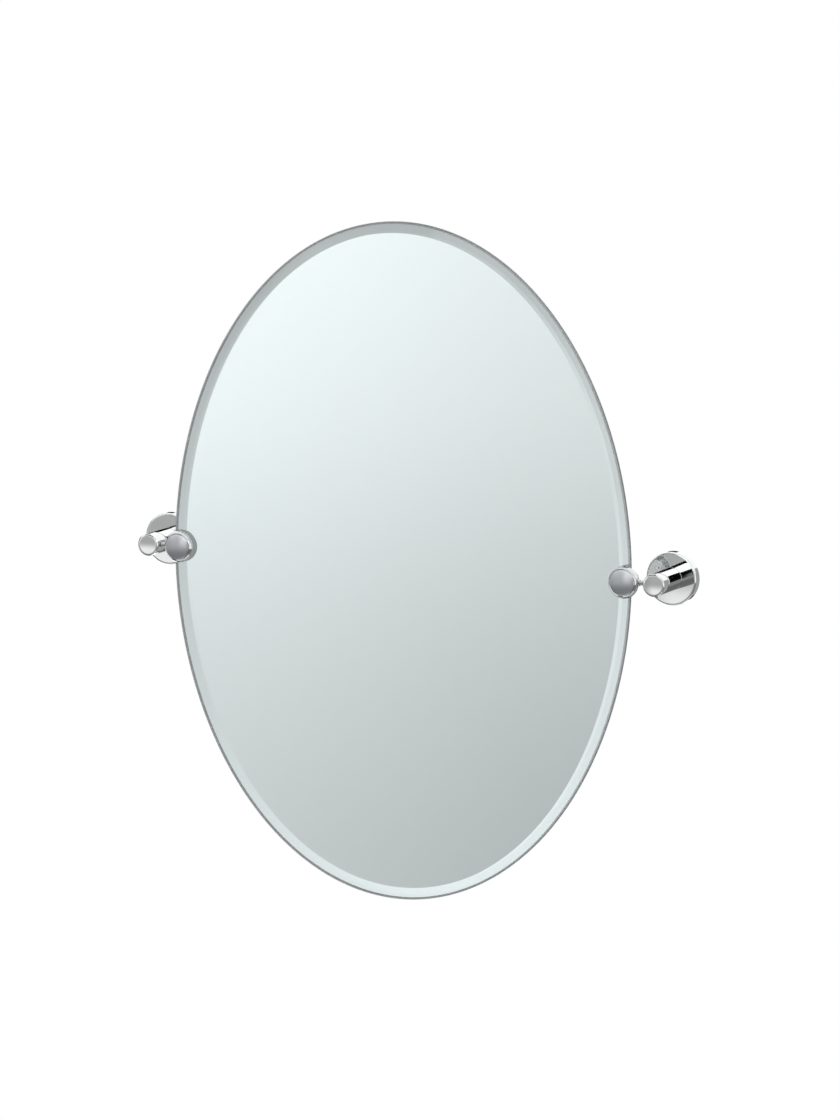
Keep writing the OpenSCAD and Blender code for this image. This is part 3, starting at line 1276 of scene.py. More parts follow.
@dataclass
class Clip:
    """One round clip: domed cap with its web, back plate and vinyl pads."""

    side: Side
    cap_side: float = 3.65 * MM
    cap_dome: float = 3.4 * MM
    dome_edge: float = 12.75 * MM
    groove_foot: float = 12.9 * MM
    lip: float = 13.7 * MM
    lip_lean: float = math.radians(15)
    rim_round: float = 6.5 * MM
    back_round: float = 0.6 * MM
    edge_gap: float = 0.6 * MM
    cap_lift: float = 0.8 * MM
    pin_thread: float = 3.5 * MM
    boss: float = 6.8 * MM
    boss_reach: float = 1.7 * MM
    screw: float = 2.5 * MM
    screw_head: float = 4.3 * MM
    screw_sink: float = 1.3 * MM
    screw_pitch: float = 8.6 * MM
    screw_in: float = 1.95 * MM
    screw_hole_end: float = 50.2 * MM
    back_skin: float = 0.05 * MM
    dome_steps: int = 28

    def __post_init__(self) -> None:
        """Reads the places of the clip from the frame."""
        self.cap = Extent.of(f"clip_cap_{self.side.label}")
        self.plate = Extent.of(f"clip_back_{self.side.label}")
        self.glass = Extent.of("mirror_glass")
        self.radius = self.cap.height / 2
        self.back_radius = self.plate.height / 2
        self.centre = (self.plate.middle.x, 0.0)
        self.web = self.side.value * (self.glass.width / 2 + self.edge_gap)
        self.pivot_out = (self.glass.back + self.glass.front) / 2
        self.base = self.glass.front + self.cap_lift

    def cap_rings(self) -> list[Ring]:
        """The section of the cap's disc: a wide rounded rim with a fine groove, and a low dome.

        Returns:
            The rings, from the middle of the back to the top of the dome.
        """
        dome = (self.radius**2 + self.cap_dome**2) / (2 * self.cap_dome)
        centre = self.base + self.cap_side + self.cap_dome - dome
        rim = self.radius - self.rim_round
        round_at = centre + math.sqrt((dome - self.rim_round) ** 2 - rim**2)
        slope = math.degrees(math.asin(rim / (dome - self.rim_round)))
        low = math.degrees(math.asin((self.base - round_at) / self.rim_round))
        outer, inner = (
            math.degrees(math.acos((r - rim) / self.rim_round)) for r in (self.lip, self.dome_edge)
        )
        crest = round_at + self.rim_round * math.sin(math.radians(outer))
        foot = crest - (self.lip - self.groove_foot) * math.tan(self.lip_lean)
        rings = [Ring(0.0, self.base)] + arc((rim, round_at), self.rim_round, low, outer, 3 * ARC_STEPS)
        rings += [Ring(self.groove_foot, foot)]
        rings += arc((rim, round_at), self.rim_round, inner, 90.0 - slope, 2 * ARC_STEPS)
        rings += arc((0.0, centre), dome, 90.0 - slope, 90.0, self.dome_steps)[1:-1]
        return rings + [Ring(0.0, centre + dome)]

    def finish_back(self, cap: Piece) -> None:
        """Gives the sides that nobody sees the duller of the cap's two finishes.

        Args:
            cap: The cap, dressed in both finishes.
        """
        behind = self.base + self.back_skin
        for face in cap.data.polygons:
            face.material_index = 1 if -face.center.y < behind else 0

    def screw_places(self) -> list[tuple[float, float]]:
        """Where the two clip screws are."""
        x = self.web + self.side.value * self.screw_in
        return [(x, row * self.screw_pitch / 2) for row in (-1, 1)]

    def build_cap(self) -> Piece:
        """The cap's disc, with the web and the boss behind it and the threaded holes in them.

        Returns:
            The cap.
        """
        cap = turned(f"chrome_cap_{self.side.label}", Axis.OUT, self.cap_rings(), self.centre)
        hand, rear = self.side.value, self.cap.back
        seat = self.centre[0] + hand * (self.back_radius + self.boss_reach)
        web = rod(Axis.OUT, self.back_radius, rear, self.base + OVERRUN, self.centre, ROUND_STEPS)
        inner = self.centre[0] - hand * 2 * self.radius
        low = Vector((min(inner, self.web), -self.base - 2 * OVERRUN, -2 * self.radius))
        high = Vector((max(inner, self.web), -rear + OVERRUN, 2 * self.radius))
        carve(web, [block("cutter", low, high)])
        pivot = (-self.pivot_out, 0.0)
        boss = rod(Axis.ACROSS, self.boss / 2, self.web + hand * OVERRUN, seat, pivot, ROUND_STEPS // 2)
        carve(cap, [web, boss], "UNION")
        hole = self.pin_thread / 2 + THREAD_GAP
        cutters = [rod(Axis.ACROSS, hole, self.web - hand * OVERRUN, seat + hand * OVERRUN, pivot)]
        tapped = self.screw / 2 + THREAD_GAP
        cutters += [
            rod(Axis.OUT, tapped, rear - OVERRUN, self.screw_hole_end, place)
            for place in self.screw_places()
        ]
        carve(cap, cutters)
        crisp(cap)
        return cap

    def build_plate(self) -> Piece:
        """The back plate, rounded behind, with two countersunk holes.

        Returns:
            The back plate.
        """
        rear, joint = self.plate.back, self.plate.front
        rim = (self.back_radius - self.back_round, rear + self.back_round)
        rings = [Ring(0.0, rear)] + arc(rim, self.back_round, -90.0, 0.0)
        rings += [Ring(self.back_radius, joint), Ring(0.0, joint)]
        plate = turned(f"chrome_back_{self.side.label}", Axis.OUT, rings, self.centre)
        hole, head = self.screw / 2, self.screw_head / 2
        sink = [Ring(head, rear - OVERRUN), Ring(head, rear), Ring(hole, rear + self.screw_sink)]
        cutters = []
        for place in self.screw_places():
            cutters.append(rod(Axis.OUT, hole + THREAD_GAP, rear - OVERRUN, joint + OVERRUN, place))
            cutters.append(turned("cutter", Axis.OUT, sink, place, steps=FASTENER_STEPS))
        carve(plate, cutters)
        crisp(plate)
        return plate

    def build(self, finishes: Finishes) -> None:
        """Builds the cap and the back plate, and dresses the pads.

        Args:
            finishes: The mirror's finishes.
        """
        label = self.side.label
        cap = self.build_cap()
        dress(cap, finishes.cap, finishes.dull)
        self.finish_back(cap)
        stand_in(cap, MIRROR, "chrome", f"clip_cap_{label}")
        plate = self.build_plate()
        dress(plate, finishes.dull)
        stand_in(plate, MIRROR, "chrome", f"clip_back_{label}")
        pads = {f"front_pad_{label}": finishes.front_vinyl, f"rear_pad_{label}": finishes.vinyl}
        for node, vinyl in pads.items():
            dress(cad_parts[node], vinyl)
            log.info("%s: kept from the frame", node)


@dataclass
class Pivot:
    """One pivot: the pin on the clip and the nylon bush in the post."""

    side: Side
    chamfer: float = 0.35 * MM
    thread: float = 3.5 * MM
    bush_bore: float = 5.12 * MM

    def __post_init__(self) -> None:
        """Reads the place of the pivot from the frame."""
        self.pin = Extent.of(f"pivot_pin_{self.side.label}")
        self.pivot = (self.pin.middle.y, self.pin.middle.z)

    def build(self, finishes: Finishes) -> None:
        """Builds the pin on the tilting body and the bush on the wall mount."""
        self.build_pin(finishes)
        self.build_bush(finishes)

    def build_pin(self, finishes: Finishes) -> None:
        """The pin, stepped down to a thread on the clip's side of its lock nut.

        Args:
            finishes: The mirror's finishes.
        """
        label, hand, pin = self.side.label, self.side.value, self.pin
        nuts = Extent.of("pin_lock_nuts")
        inner, outer = pin.reach(self.side)
        step = hand * max(abs(nuts.low.x), abs(nuts.high.x))
        thin, full, c = self.thread / 2, pin.height / 2, self.chamfer * hand
        rings = [
            Ring(0.0, inner), Ring(thin - self.chamfer, inner), Ring(thin, inner + c), Ring(thin, step),
            Ring(full - self.chamfer / 2, step), Ring(full, step + c / 2),
            Ring(full, outer - c), Ring(full - self.chamfer, outer), Ring(0.0, outer),
        ]
        piece = turned(f"pin_{label}", Axis.ACROSS, rings, self.pivot, steps=FASTENER_STEPS * 2)
        crisp(piece)
        dress(piece, finishes.steel[Axis.ACROSS])
        stand_in(piece, MIRROR, "bright_steel", f"pivot_pin_{label}")

    def build_bush(self, finishes: Finishes) -> None:
        """The bush, a sleeve with its mouth's corners broken.

        Args:
            finishes: The mirror's finishes.
        """
        label, hand = self.side.label, self.side.value
        bush = Extent.of(f"pivot_bush_{label}")
        mouth, end = bush.reach(self.side)
        bore, wall = self.bush_bore / 2, bush.height / 2
        lip = self.chamfer * hand / 2
        rings = [
            Ring(bore + self.chamfer / 2, mouth), Ring(wall - self.chamfer / 2, mouth),
            Ring(wall, mouth + lip), Ring(wall, end), Ring(bore, end), Ring(bore, mouth + lip),
        ]
        piece = turned(
            f"bush_{label}", Axis.ACROSS, rings, self.pivot, closed=True, steps=FASTENER_STEPS * 2
        )
        crisp(piece)
        dress(piece, finishes.nylon)
        stand_in(piece, WALL_MOUNT, "white_nylon", f"pivot_bush_{label}")


# ---------------------------------------------------------------- wall mounts


@dataclass
class WallPost:
    """One round post, bored for its bush and its screws."""

    side: Side
    chamfer: float = 0.7 * MM
    rear_chamfer: float = 0.35 * MM
    dish: float = 0.16 * MM
    edge_band: float = 0.85 * MM
    edge_drop: float = 0.13 * MM
    bore_past: float = 3.0 * MM
    tension_screw: float = 4.0 * MM
    join_screw: float = 6.0 * MM
    join_hole_end: float = 23.2 * MM
    face_steps: int = 10

    def build(self, finishes: Finishes) -> None:
        """Builds the post on the wall mount.

        Args:
            finishes: The mirror's finishes.
        """
        label, hand = self.side.label, self.side.value
        post = Extent.of(f"post_{label}")
        bush = Extent.of(f"pivot_bush_{label}")
        radius, back, front = post.height / 2, post.back, post.front
        x = post.middle.x
        hole = self.join_screw / 2 + THREAD_GAP
        rings = [
            Ring(0.0, self.join_hole_end), Ring(hole, self.join_hole_end), Ring(hole, back),
            Ring(radius - self.rear_chamfer, back), Ring(radius, back + self.rear_chamfer),
            Ring(radius, front - self.chamfer - self.edge_drop),
        ]
        face = radius - self.chamfer
        rings.append(Ring(face, front - self.edge_drop))
        rings += dished_face(face - self.edge_band, front, self.dish, self.face_steps)
        piece = turned(f"chrome_post_{label}", Axis.OUT, rings, (x, 0.0))
        pivot = (bush.middle.y, 0.0)
        cutters = [
            rod(Axis.ACROSS, bush.height / 2, x - hand * 2 * radius, x + hand * self.bore_past, pivot,
                steps=FASTENER_STEPS * 2),
            rod(Axis.UP, self.tension_screw / 2 + THREAD_GAP, -2 * radius, 0.0, (x, bush.middle.y)),
        ]
        carve(piece, cutters)
        crisp(piece)
        dress(piece, finishes.chrome)
        stand_in(piece, WALL_MOUNT, "chrome", f"post_{label}")


def dished_face(radius: float, out: float, depth: float, steps: int, hole: float = 0.0) -> list[Ring]:
    """Rings of a turned end face, hollowed a little towards its middle.

    Args:
        radius: The face's outer radius.
        out: How far out its rim is.
        depth: How deep the hollow is, measured to the axis.
        steps: The number of rings across it.
        hole: The radius of a hole in its middle.

    Returns:
        The rings, from the rim inwards.
    """
    rings = []
    for k in range(steps + 1):
        r = radius + (hole - radius) * k / steps
        rings.append(Ring(r, out - depth * (1 - (r / radius) ** 2)))
    return rings


@dataclass
class WallFlange:
    """One wall flange, a shallow cup, with the zinc bracket that it slips over."""

    side: Side
    round_edge: float = 2.0 * MM
    face: float = 3.0 * MM
    skirt: float = 2.0 * MM
    screw_hole: float = 3.2 * MM
    set_screw: float = 3.0 * MM
    set_screw_bite: float = 2.6 * MM
    dish: float = 0.3 * MM
    face_steps: int = 12
    bracket_bore: float = 14.0 * MM
    wall_hole: float = 5.0 * MM
    wall_sink: float = 9.4 * MM
    wall_sink_depth: float = 2.2 * MM
    wall_hole_pitch: float = 28.0 * MM
    break_edge: float = 0.3 * MM

    def build(self, finishes: Finishes) -> None:
        """Builds the flange and the bracket on the wall mount."""
        self.build_flange(finishes)
        self.build_bracket(finishes)

    def build_flange(self, finishes: Finishes) -> None:
        """The flange: a cup with a rounded front edge.

        Args:
            finishes: The mirror's finishes.
        """
        label = self.side.label
        flange = Extent.of(f"flange_{label}")
        bracket = Extent.of(f"wall_bracket_{label}")
        radius, front, x = flange.height / 2, flange.front, flange.middle.x
        bore, floor, rim = radius - self.skirt, front - self.face, radius - self.round_edge
        rings = [Ring(self.screw_hole, floor), Ring(bore, floor), Ring(bore, 0.0), Ring(radius, 0.0)]
        rings += arc((rim, front - self.round_edge), self.round_edge, 0.0, 90.0, 2 * ARC_STEPS)[:-1]
        rings += dished_face(rim, front, self.dish, self.face_steps, self.screw_hole)
        piece = turned(f"chrome_flange_{label}", Axis.OUT, rings, (x, 0.0), closed=True)
        carve(piece, [rod(
            Axis.UP, self.set_screw / 2 + THREAD_GAP, -radius - OVERRUN, -bore + OVERRUN,
            (x, bracket.middle.y),
        )])
        crisp(piece)
        dress(piece, finishes.chrome)
        stand_in(piece, WALL_MOUNT, "chrome", f"flange_{label}")

    def build_bracket(self, finishes: Finishes) -> None:
        """The bracket: a disc with a large bore and two countersunk wall holes.

        Args:
            finishes: The mirror's finishes.
        """
        label = self.side.label
        bracket = Extent.of(f"wall_bracket_{label}")
        radius, front, x = bracket.height / 2, bracket.front, bracket.middle.x
        bore, c = self.bracket_bore / 2, self.break_edge
        rings = [
            Ring(bore, c), Ring(bore + c, 0.0), Ring(radius - c, 0.0), Ring(radius, c),
            Ring(radius, front - c), Ring(radius - c, front), Ring(bore + c, front),
            Ring(bore, front - c),
        ]
        piece = turned(f"zinc_bracket_{label}", Axis.OUT, rings, (x, 0.0), closed=True)
        cutters = [rod(
            Axis.UP, self.set_screw / 2 + THREAD_GAP, -radius - OVERRUN,
            -radius + self.set_screw_bite, (x, bracket.middle.y),
        )]
        hole, head = self.wall_hole / 2, self.wall_sink / 2
        sink = [Ring(hole, front - self.wall_sink_depth), Ring(head, front), Ring(head, front + OVERRUN)]
        for row in (-1, 1):
            place = (x, row * self.wall_hole_pitch / 2)
            cutters.append(rod(Axis.OUT, hole, -OVERRUN, front + OVERRUN, place))
            cutters.append(turned("cutter", Axis.OUT, sink, place, steps=FASTENER_STEPS))
        carve(piece, cutters)
        crisp(piece)
        dress(piece, finishes.zinc)
        stand_in(piece, WALL_MOUNT, "zinc_plate", f"wall_bracket_{label}")


# ---------------------------------------------------------------- fasteners


@dataclass
class FastenerSet:
    """Fasteners that are all alike: one pattern, set out on both hands by a node tree."""

    name: str
    node: str
    body: str
    slot: str
    axis: Axis
    rings: Callable[[Extent, float], list[Ring]]
    column: float
    rows: int = 1
    row_spacing: float = 0.0
    closed: bool = False

    def build(self, tree: Tree, material: Material) -> None:
        """Builds the pattern on the mirror's middle plane, and its copies where the frame has them.

        Args:
            tree: The tree that sets the fasteners out.
            material: Their finish.
        """
        extent = Extent.of(self.node)
        middle = extent.middle
        centre = {
            Axis.OUT: (0.0, middle.z), Axis.UP: (0.0, middle.y), Axis.ACROSS: (middle.y, middle.z)
        }[self.axis]
        pattern = turned(
            "pattern", self.axis, self.rings(extent, self.column), centre, self.closed, FASTENER_STEPS
        )
        piece = grown(self.name, tree, {
            "Pattern": pattern, "Column Spacing": 2 * self.column, "Rows": self.rows,
            "Row Spacing": self.row_spacing, "Material": material,
        })
        bpy.data.objects.remove(pattern)
        crisp(piece)
        dress(piece, material)
        stand_in(piece, self.body, self.slot, self.node)


def sunk_screw(extent: Extent, column: float) -> list[Ring]:
    """A countersunk screw with a hexagon socket in its head.

    Args:
        extent: Where the whole set is.
        column: How far each column is from the mirror's middle.

    Returns:
        The screw's rings.
    """
    rear, end = extent.back, extent.back + 11 * MM
    head, land, sink, shank, point = 2.15 * MM, 0.15 * MM, 1.3 * MM, 1.25 * MM, 0.4 * MM
    socket, depth, cone = 0.875 * MM, 1.04 * MM, 0.2 * MM
    return [
        Ring(0.0, rear + depth + cone), Ring(socket, rear + depth, True), Ring(socket, rear, True),
        Ring(head, rear), Ring(head, rear + land), Ring(shank, rear + sink),
        Ring(shank, end - point), Ring(shank - point, end), Ring(0.0, end),
    ]


def pan_screw(extent: Extent, column: float) -> list[Ring]:
    """A flat-headed screw with a hexagon socket, its head towards the wall.

    Args:
        extent: Where the whole set is.
        column: How far each column is from the mirror's middle.

    Returns:
        The screw's rings.
    """
    rear, seat, end = extent.back, extent.back + 2.8 * MM, extent.front
    head, shank, socket, edge, point = 5.5 * MM, 3.0 * MM, 2.08 * MM, 0.4 * MM, 0.6 * MM
    return [
        Ring(0.0, seat - edge), Ring(socket, seat - edge, True), Ring(socket, rear, True),
        Ring(head - edge, rear), Ring(head, rear + edge), Ring(head, seat), Ring(shank, seat),
        Ring(shank, end - point), Ring(shank - point, end), Ring(0.0, end),
    ]


def headless_screw(extent: Extent, column: float) -> list[Ring]:
    """A headless screw with a hexagon socket, driven from below.

    Args:
        extent: Where the whole set is.
        column: How far each column is from the mirror's middle.

    Returns:
        The screw's rings.
    """
    radius = extent.high.x - column
    foot, top, edge = extent.low.z, extent.high.z, 0.2 * MM
    # Across the flats the socket is about half of the screw, and a little deeper than wide
    socket, depth = radius * 0.52, radius * 1.2
    return [
        Ring(0.0, foot + depth + edge), Ring(socket, foot + depth, True), Ring(socket, foot, True),
        Ring(radius - edge, foot), Ring(radius, foot + edge), Ring(radius, top - edge),
        Ring(radius - edge, top), Ring(0.0, top),
    ]


def thin_nut(extent: Extent, column: float) -> list[Ring]:
    """A thin lock nut, chamfered on both faces.

    Args:
        extent: Where the whole set is.
        column: How far each column is from the mirror's middle.

    Returns:
        The nut's rings.
    """
    half = extent.high.x - column
    flats, bore, edge, turn = 3.0 * MM, 1.8 * MM, 0.25 * MM, math.radians(30)
    return [
        Ring(bore + edge, -half), Ring(flats, -half), Ring(flats, -half + edge, True, turn),
        Ring(flats, half - edge, True, turn), Ring(flats, half), Ring(bore + edge, half),
        Ring(bore, half - edge), Ring(bore, -half + edge),
    ]


def build_fasteners(finishes: Finishes) -> None:
    """Builds every set of fasteners.

    Args:
        finishes: The mirror's finishes.
    """
    tree = fastener_tree()
    posts = abs(Extent.of("post_right").middle.x)
    clip = Clip(Side.RIGHT)
    nut_middle = Extent.of("pin_lock_nuts").high.x - HALF_NUT
    sets = [
        FastenerSet("clip_screw_set", "clip_screws", MIRROR, "bright_steel", Axis.OUT, sunk_screw,
                    clip.screw_places()[0][0], 2, clip.screw_pitch),
        FastenerSet("lock_nut_set", "pin_lock_nuts", MIRROR, "chrome", Axis.ACROSS, thin_nut,
                    nut_middle, closed=True),
        FastenerSet("tension_screw_set", "tension_screws", WALL_MOUNT, "bright_steel", Axis.UP,
                    headless_screw, posts),
        FastenerSet("post_screw_set", "post_screws", WALL_MOUNT, "bright_steel", Axis.OUT,
                    pan_screw, posts),
        FastenerSet("set_screw_set", "flange_set_screws", WALL_MOUNT, "bright_steel", Axis.UP,
                    headless_screw, posts),
    ]
    for each in sets:
        each.build(tree, finishes.chrome if each.slot == "chrome" else finishes.steel[each.axis])


# ---------------------------------------------------------------- studio


@dataclass(frozen=True)
class Viewpoint:
    """The photograph's viewpoint: how far round, how high, how far away and how long a lens."""

    azimuth: float = math.radians(25.196)
    elevation: float = math.radians(9.012)
    distance: float = 5.3646
    roll: float = math.radians(0.357)
    aim_right: float = 1.916 * MM
    aim_up: float = -2.749 * MM
    lens: float = 174.3
    sensor: float = 36.0

    def place(self) -> None:
        """Makes the scene's camera."""
        a, e = self.azimuth, self.elevation
        right = Vector((math.cos(a), math.sin(a), 0.0))
        ahead = Vector((-math.sin(a) * math.cos(e), math.cos(a) * math.cos(e), -math.sin(e)))
        up = right.cross(ahead)
        aim = right * self.aim_right + up * self.aim_up
        turned_right = right * math.cos(self.roll) + up * math.sin(self.roll)
        turned_up = turned_right.cross(ahead)
        data = bpy.data.cameras.new("viewpoint")
        data.lens = self.lens
        data.sensor_width = self.sensor
        data.clip_start, data.clip_end = 0.1, 200.0
        camera = link_object("viewpoint", data)
        matrix = Matrix((turned_right, turned_up, -ahead)).transposed().to_4x4()
        matrix.translation = aim - ahead * self.distance
        camera.matrix_world = matrix
        bpy.context.scene.camera = camera


@dataclass(frozen=True)
class Panel:
    """A stretch of the studio's surroundings, as the plated pieces reflect it.

    Angles are in degrees: azimuth from straight out of the wall towards the viewer's
    right, elevation from level upwards. Soft is the width of its faded border.
    """

    left: float
    right: float
    low: float
    high: float
    value: float
    soft: float

    def mask(self, wiring: Wiring, azimuth: Socket, height: Socket) -> Socket:
        """The share of the panel in each direction.

        Args:
            wiring: The world's wiring.
            azimuth: The direction's azimuth, in radians.
            height: The direction's elevation, in radians.

        Returns:
            The mask, 1 inside the panel and 0 outside.
        """
        shares = []
        for source, start, end in ((azimuth, self.left, self.right), (height, self.low, self.high)):
            for edge, half in ((start, self.soft / 2), (end, -self.soft / 2)):
                outer, inner = math.radians(edge - half), math.radians(edge + half)
                shares.append(wiring.between(source, outer, inner))
        return functools.reduce(wiring.times, shares)


@dataclass(frozen=True)
class GlassView:
    """What the silvered glass reflects: a pale wall that darkens slowly down and to one side.

    The flat of the glass sees the middle of it. The bevel sees what is round that,
    which is pale above and darker below. Reaches and half sizes are in radians from
    the direction that the middle of the glass reflects. Levels and shades are in the
    display's steps, of which white is the 255th.
    """

    flat_level: float = 223.0
    rise_reach: float = 0.085
    low_shade: float = -34.0
    high_shade: float = 31.0
    side_reach: float = 0.06
    side_shade: float = 16.0
    half_wide: float = 0.042
    half_tall: float = 0.0628
    border: float = 1.06
    bevel_level: float = 218.0
    bevel_swing: float = 34.0
    bevel_bright_at: float = math.radians(119.0)
    bevel_squeeze: float = 1.7
    patch_at: float = math.radians(237.0)
    patch_depth: float = 12.0
    patch_power: float = 6.0
    least_away: float = 0.01
    white: float = 255.0
    gamma: float = 2.2

    def level(self, wiring: Wiring, azimuth: Socket, height: Socket) -> Socket:
        """The brightness in each direction.

        Args:
            wiring: The world's wiring.
            azimuth: The direction's azimuth, in radians.
            height: The direction's elevation, in radians.

        Returns:
            The brightness, as the world's strength.
        """
        view = Viewpoint()
        side, rise = wiring.plus(azimuth, view.azimuth), wiring.plus(height, view.elevation)
        total = wiring.blend(
            self.beyond(wiring, side, rise), self.flat(wiring, side, rise), self.bevel(wiring, side, rise)
        )
        return wiring.maths("POWER", wiring.over(total, self.white), self.gamma)

    def beyond(self, wiring: Wiring, side: Socket, rise: Socket) -> Socket:
        """0 in the directions that the flat of the glass sees, and 1 round them."""
        edge = wiring.length(wiring.over(side, self.half_wide), wiring.over(rise, self.half_tall))
        return wiring.between(edge, 1.0, self.border)

    def flat(self, wiring: Wiring, side: Socket, rise: Socket) -> Socket:
        """The level in the flat of the glass.

        Args:
            wiring: The world's wiring.
            side: The direction's angle to one side, in radians.
            rise: Its angle upwards.

        Returns:
            The level.
        """
        up = wiring.between(rise, -self.rise_reach, self.rise_reach, self.low_shade, self.high_shade)
        across = wiring.between(
            side, -self.side_reach, self.side_reach, self.side_shade, -self.side_shade
        )
        return wiring.plus(wiring.plus(up, across), self.flat_level)

    def bevel(self, wiring: Wiring, side: Socket, rise: Socket) -> Socket:
        """The level in the bevel, with one darker patch.

        Args:
            wiring: The world's wiring.
            side: The direction's angle to one side, in radians.
            rise: Its angle upwards.

        Returns:
            The level.
        """
        tall = wiring.times(rise, self.bevel_squeeze)
        away = wiring.maths("MAXIMUM", wiring.length(side, tall), self.least_away)
        swing, patch = (
            wiring.over(wiring.towards(side, tall, turn), away)
            for turn in (self.bevel_bright_at, self.patch_at)
        )
        dark = wiring.maths("POWER", wiring.maths("MAXIMUM", patch, 0.0), self.patch_power)
        shade = wiring.minus(wiring.times(swing, self.bevel_swing), wiring.times(dark, self.patch_depth))
        return wiring.plus(shade, self.bevel_level)


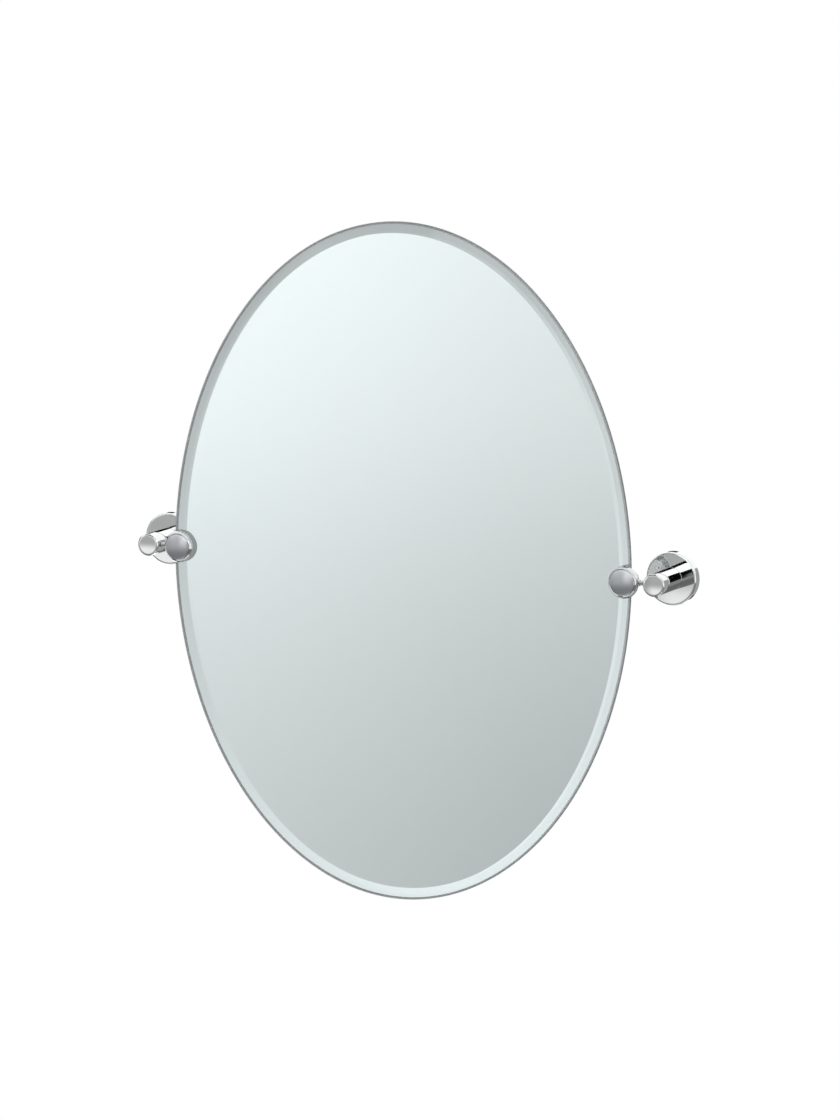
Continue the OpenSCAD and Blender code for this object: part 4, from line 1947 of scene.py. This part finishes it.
@dataclass(frozen=True)
class Studio:
    """A pale studio: white behind, even light, and panels for the chrome to reflect."""

    floor_drop: float = 6.0
    floor_size: float = 60.0
    floor_colour: Colour = (0.8, 0.8, 0.8)
    day: float = 0.86
    between_panels: float = 0.34
    glass_tint: Colour = (0.975, 1.0, 1.014)
    glass: GlassView = GlassView()
    key_lamp: tuple[float, float, float] = (-1.8, -2.6, 2.4)
    rear_lamp: tuple[float, float, float] = (2.2, 2.6, 2.0)
    lamp_size: float = 1.6
    lamp_power: float = 26.0
    panels: tuple[Panel, ...] = (
        # Behind the wall's plane: white above, darker below, a black band low on the left
        Panel(88.0, 200.0, -95.0, 11.5, 0.44, 2.0),
        Panel(-200.0, -88.0, -95.0, 9.0, 0.16, 3.0),
        Panel(-166.0, -130.0, -45.0, 1.0, 2.2, 8.0),
        Panel(88.0, 200.0, 11.5, 95.0, 1.35, 2.0),
        Panel(-200.0, -88.0, 9.0, 95.0, 1.35, 2.0),
        Panel(-200.0, -88.0, -2.0, 16.0, 0.003, 0.6),
        # Before it: white overhead, pale in the middle, dark towards the floor
        Panel(-90.0, 90.0, 14.0, 95.0, 1.0, 6.0),
        Panel(-20.5, 60.0, 16.0, 30.0, 2.2, 3.0),
        Panel(-90.0, 90.0, 48.0, 95.0, 1.2, 6.0),
        Panel(-90.0, 6.0, -9.0, 16.0, 1.18, 3.5),
        Panel(-60.0, 8.0, 0.0, 18.0, 1.5, 4.0),
        Panel(-90.0, -8.0, -18.0, -9.0, 0.56, 4.0),
        Panel(-90.0, -36.0, -16.0, 14.0, 0.62, 7.0),
        Panel(-20.5, -12.0, -15.0, -3.6, 0.42, 5.0),
        Panel(-90.0, 90.0, -50.0, -16.0, 0.24, 6.0),
        Panel(6.0, 90.0, -16.0, -3.0, 0.42, 2.0),
        Panel(29.0, 90.0, -14.0, 16.0, 1.3, 4.0),
        Panel(-90.0, 90.0, -95.0, -49.0, 0.95, 2.0),
        # Black screens on both sides of the viewer
        Panel(-31.0, -18.6, -3.0, 13.2, 0.003, 0.6),
        Panel(-27.0, -14.4, 12.4, 21.0, 0.003, 0.6),
        Panel(15.5, 26.0, -4.6, 13.6, 0.003, 0.6),
        Panel(11.4, 26.0, 13.3, 19.2, 0.003, 0.6),
    )

    def build(self) -> None:
        """Builds the world, the floor, the lamps and the camera."""
        bpy.context.scene.view_settings.view_transform = "Standard"
        self.build_world()
        self.build_floor()
        self.build_lamps()
        Viewpoint().place()

    def build_world(self) -> None:
        """White to the camera, even light on matt things, and panels in the chrome."""
        world = bpy.data.worlds.new("pale_studio")
        bpy.context.scene.world = world
        world.use_nodes = True
        world.node_tree.nodes.clear()
        wiring = Wiring(world.node_tree)
        direction = wiring.add("ShaderNodeTexCoord").outputs["Generated"]
        x, y, z = wiring.add("ShaderNodeSeparateXYZ", {0: direction}).outputs
        azimuth = wiring.maths("ARCTAN2", x, wiring.times(y, -1.0))
        height = wiring.maths("ARCSINE", z)
        chrome: object = self.between_panels
        for panel in self.panels:
            chrome = wiring.blend(panel.mask(wiring, azimuth, height), chrome, panel.value)
        rays = wiring.add("ShaderNodeLightPath").outputs
        seen = wiring.blend(rays["Is Glossy Ray"], self.day, chrome)
        seen = wiring.blend(
            rays["Is Transmission Ray"], seen, self.glass.level(wiring, azimuth, height)
        )
        seen = wiring.blend(rays["Is Camera Ray"], seen, 1.0)
        tinted = wiring.tint(rays["Is Transmission Ray"], rgba(WHITE), rgba(self.glass_tint))
        light = wiring.add("ShaderNodeBackground", {"Color": tinted, "Strength": seen})
        wiring.add("ShaderNodeOutputWorld", {"Surface": light.outputs[0]})

    def build_floor(self) -> None:
        """A plain pale floor, white to the camera."""
        half = self.floor_size / 2
        mesh = bpy.data.meshes.new("floor")
        corners = [(-half, -half), (half, -half), (half, half), (-half, half)]
        mesh.from_pydata([(x, y, -self.floor_drop) for x, y in corners], [], [(0, 1, 2, 3)])
        floor = link_object("floor", mesh)
        floor.visible_glossy = False
        floor.visible_transmission = False
        material = bpy.data.materials.new("pale_floor")
        material.use_nodes = True
        material.node_tree.nodes.clear()
        wiring = Wiring(material.node_tree)
        matt = wiring.add("ShaderNodeBsdfDiffuse", {"Color": rgba(self.floor_colour)}).outputs[0]
        white = wiring.add("ShaderNodeEmission", {"Strength": 1.0}).outputs[0]
        seen = wiring.add("ShaderNodeLightPath").outputs["Is Camera Ray"]
        mixed = wiring.add("ShaderNodeMixShader", {0: seen, 1: matt, 2: white})
        wiring.add("ShaderNodeOutputMaterial", {"Surface": mixed.outputs[0]})
        dress(floor, material)

    def build_lamps(self) -> None:
        """Two large soft lamps, before and behind, that give matt pieces some shape."""
        for name, place in (("key_lamp", self.key_lamp), ("rear_lamp", self.rear_lamp)):
            data = bpy.data.lights.new(name, "AREA")
            data.shape = "DISK"
            data.size = self.lamp_size
            data.energy = self.lamp_power
            lamp = link_object(name, data)
            lamp.location = place
            lamp.rotation_euler = (-Vector(place)).to_track_quat("-Z", "Y").to_euler()
            lamp.visible_glossy = False
            lamp.visible_transmission = False
            lamp.visible_camera = False


def main() -> None:
    """Builds the mirror's looks and its studio."""
    logging.basicConfig(level=logging.INFO, format="%(name)s: %(message)s")
    finishes = Finishes()
    MirrorPlate().build(finishes)
    for side in Side:
        Clip(side).build(finishes)
        Pivot(side).build(finishes)
        WallPost(side).build(finishes)
        WallFlange(side).build(finishes)
    build_fasteners(finishes)
    Studio().build()


if __name__ == "__main__":
    main()
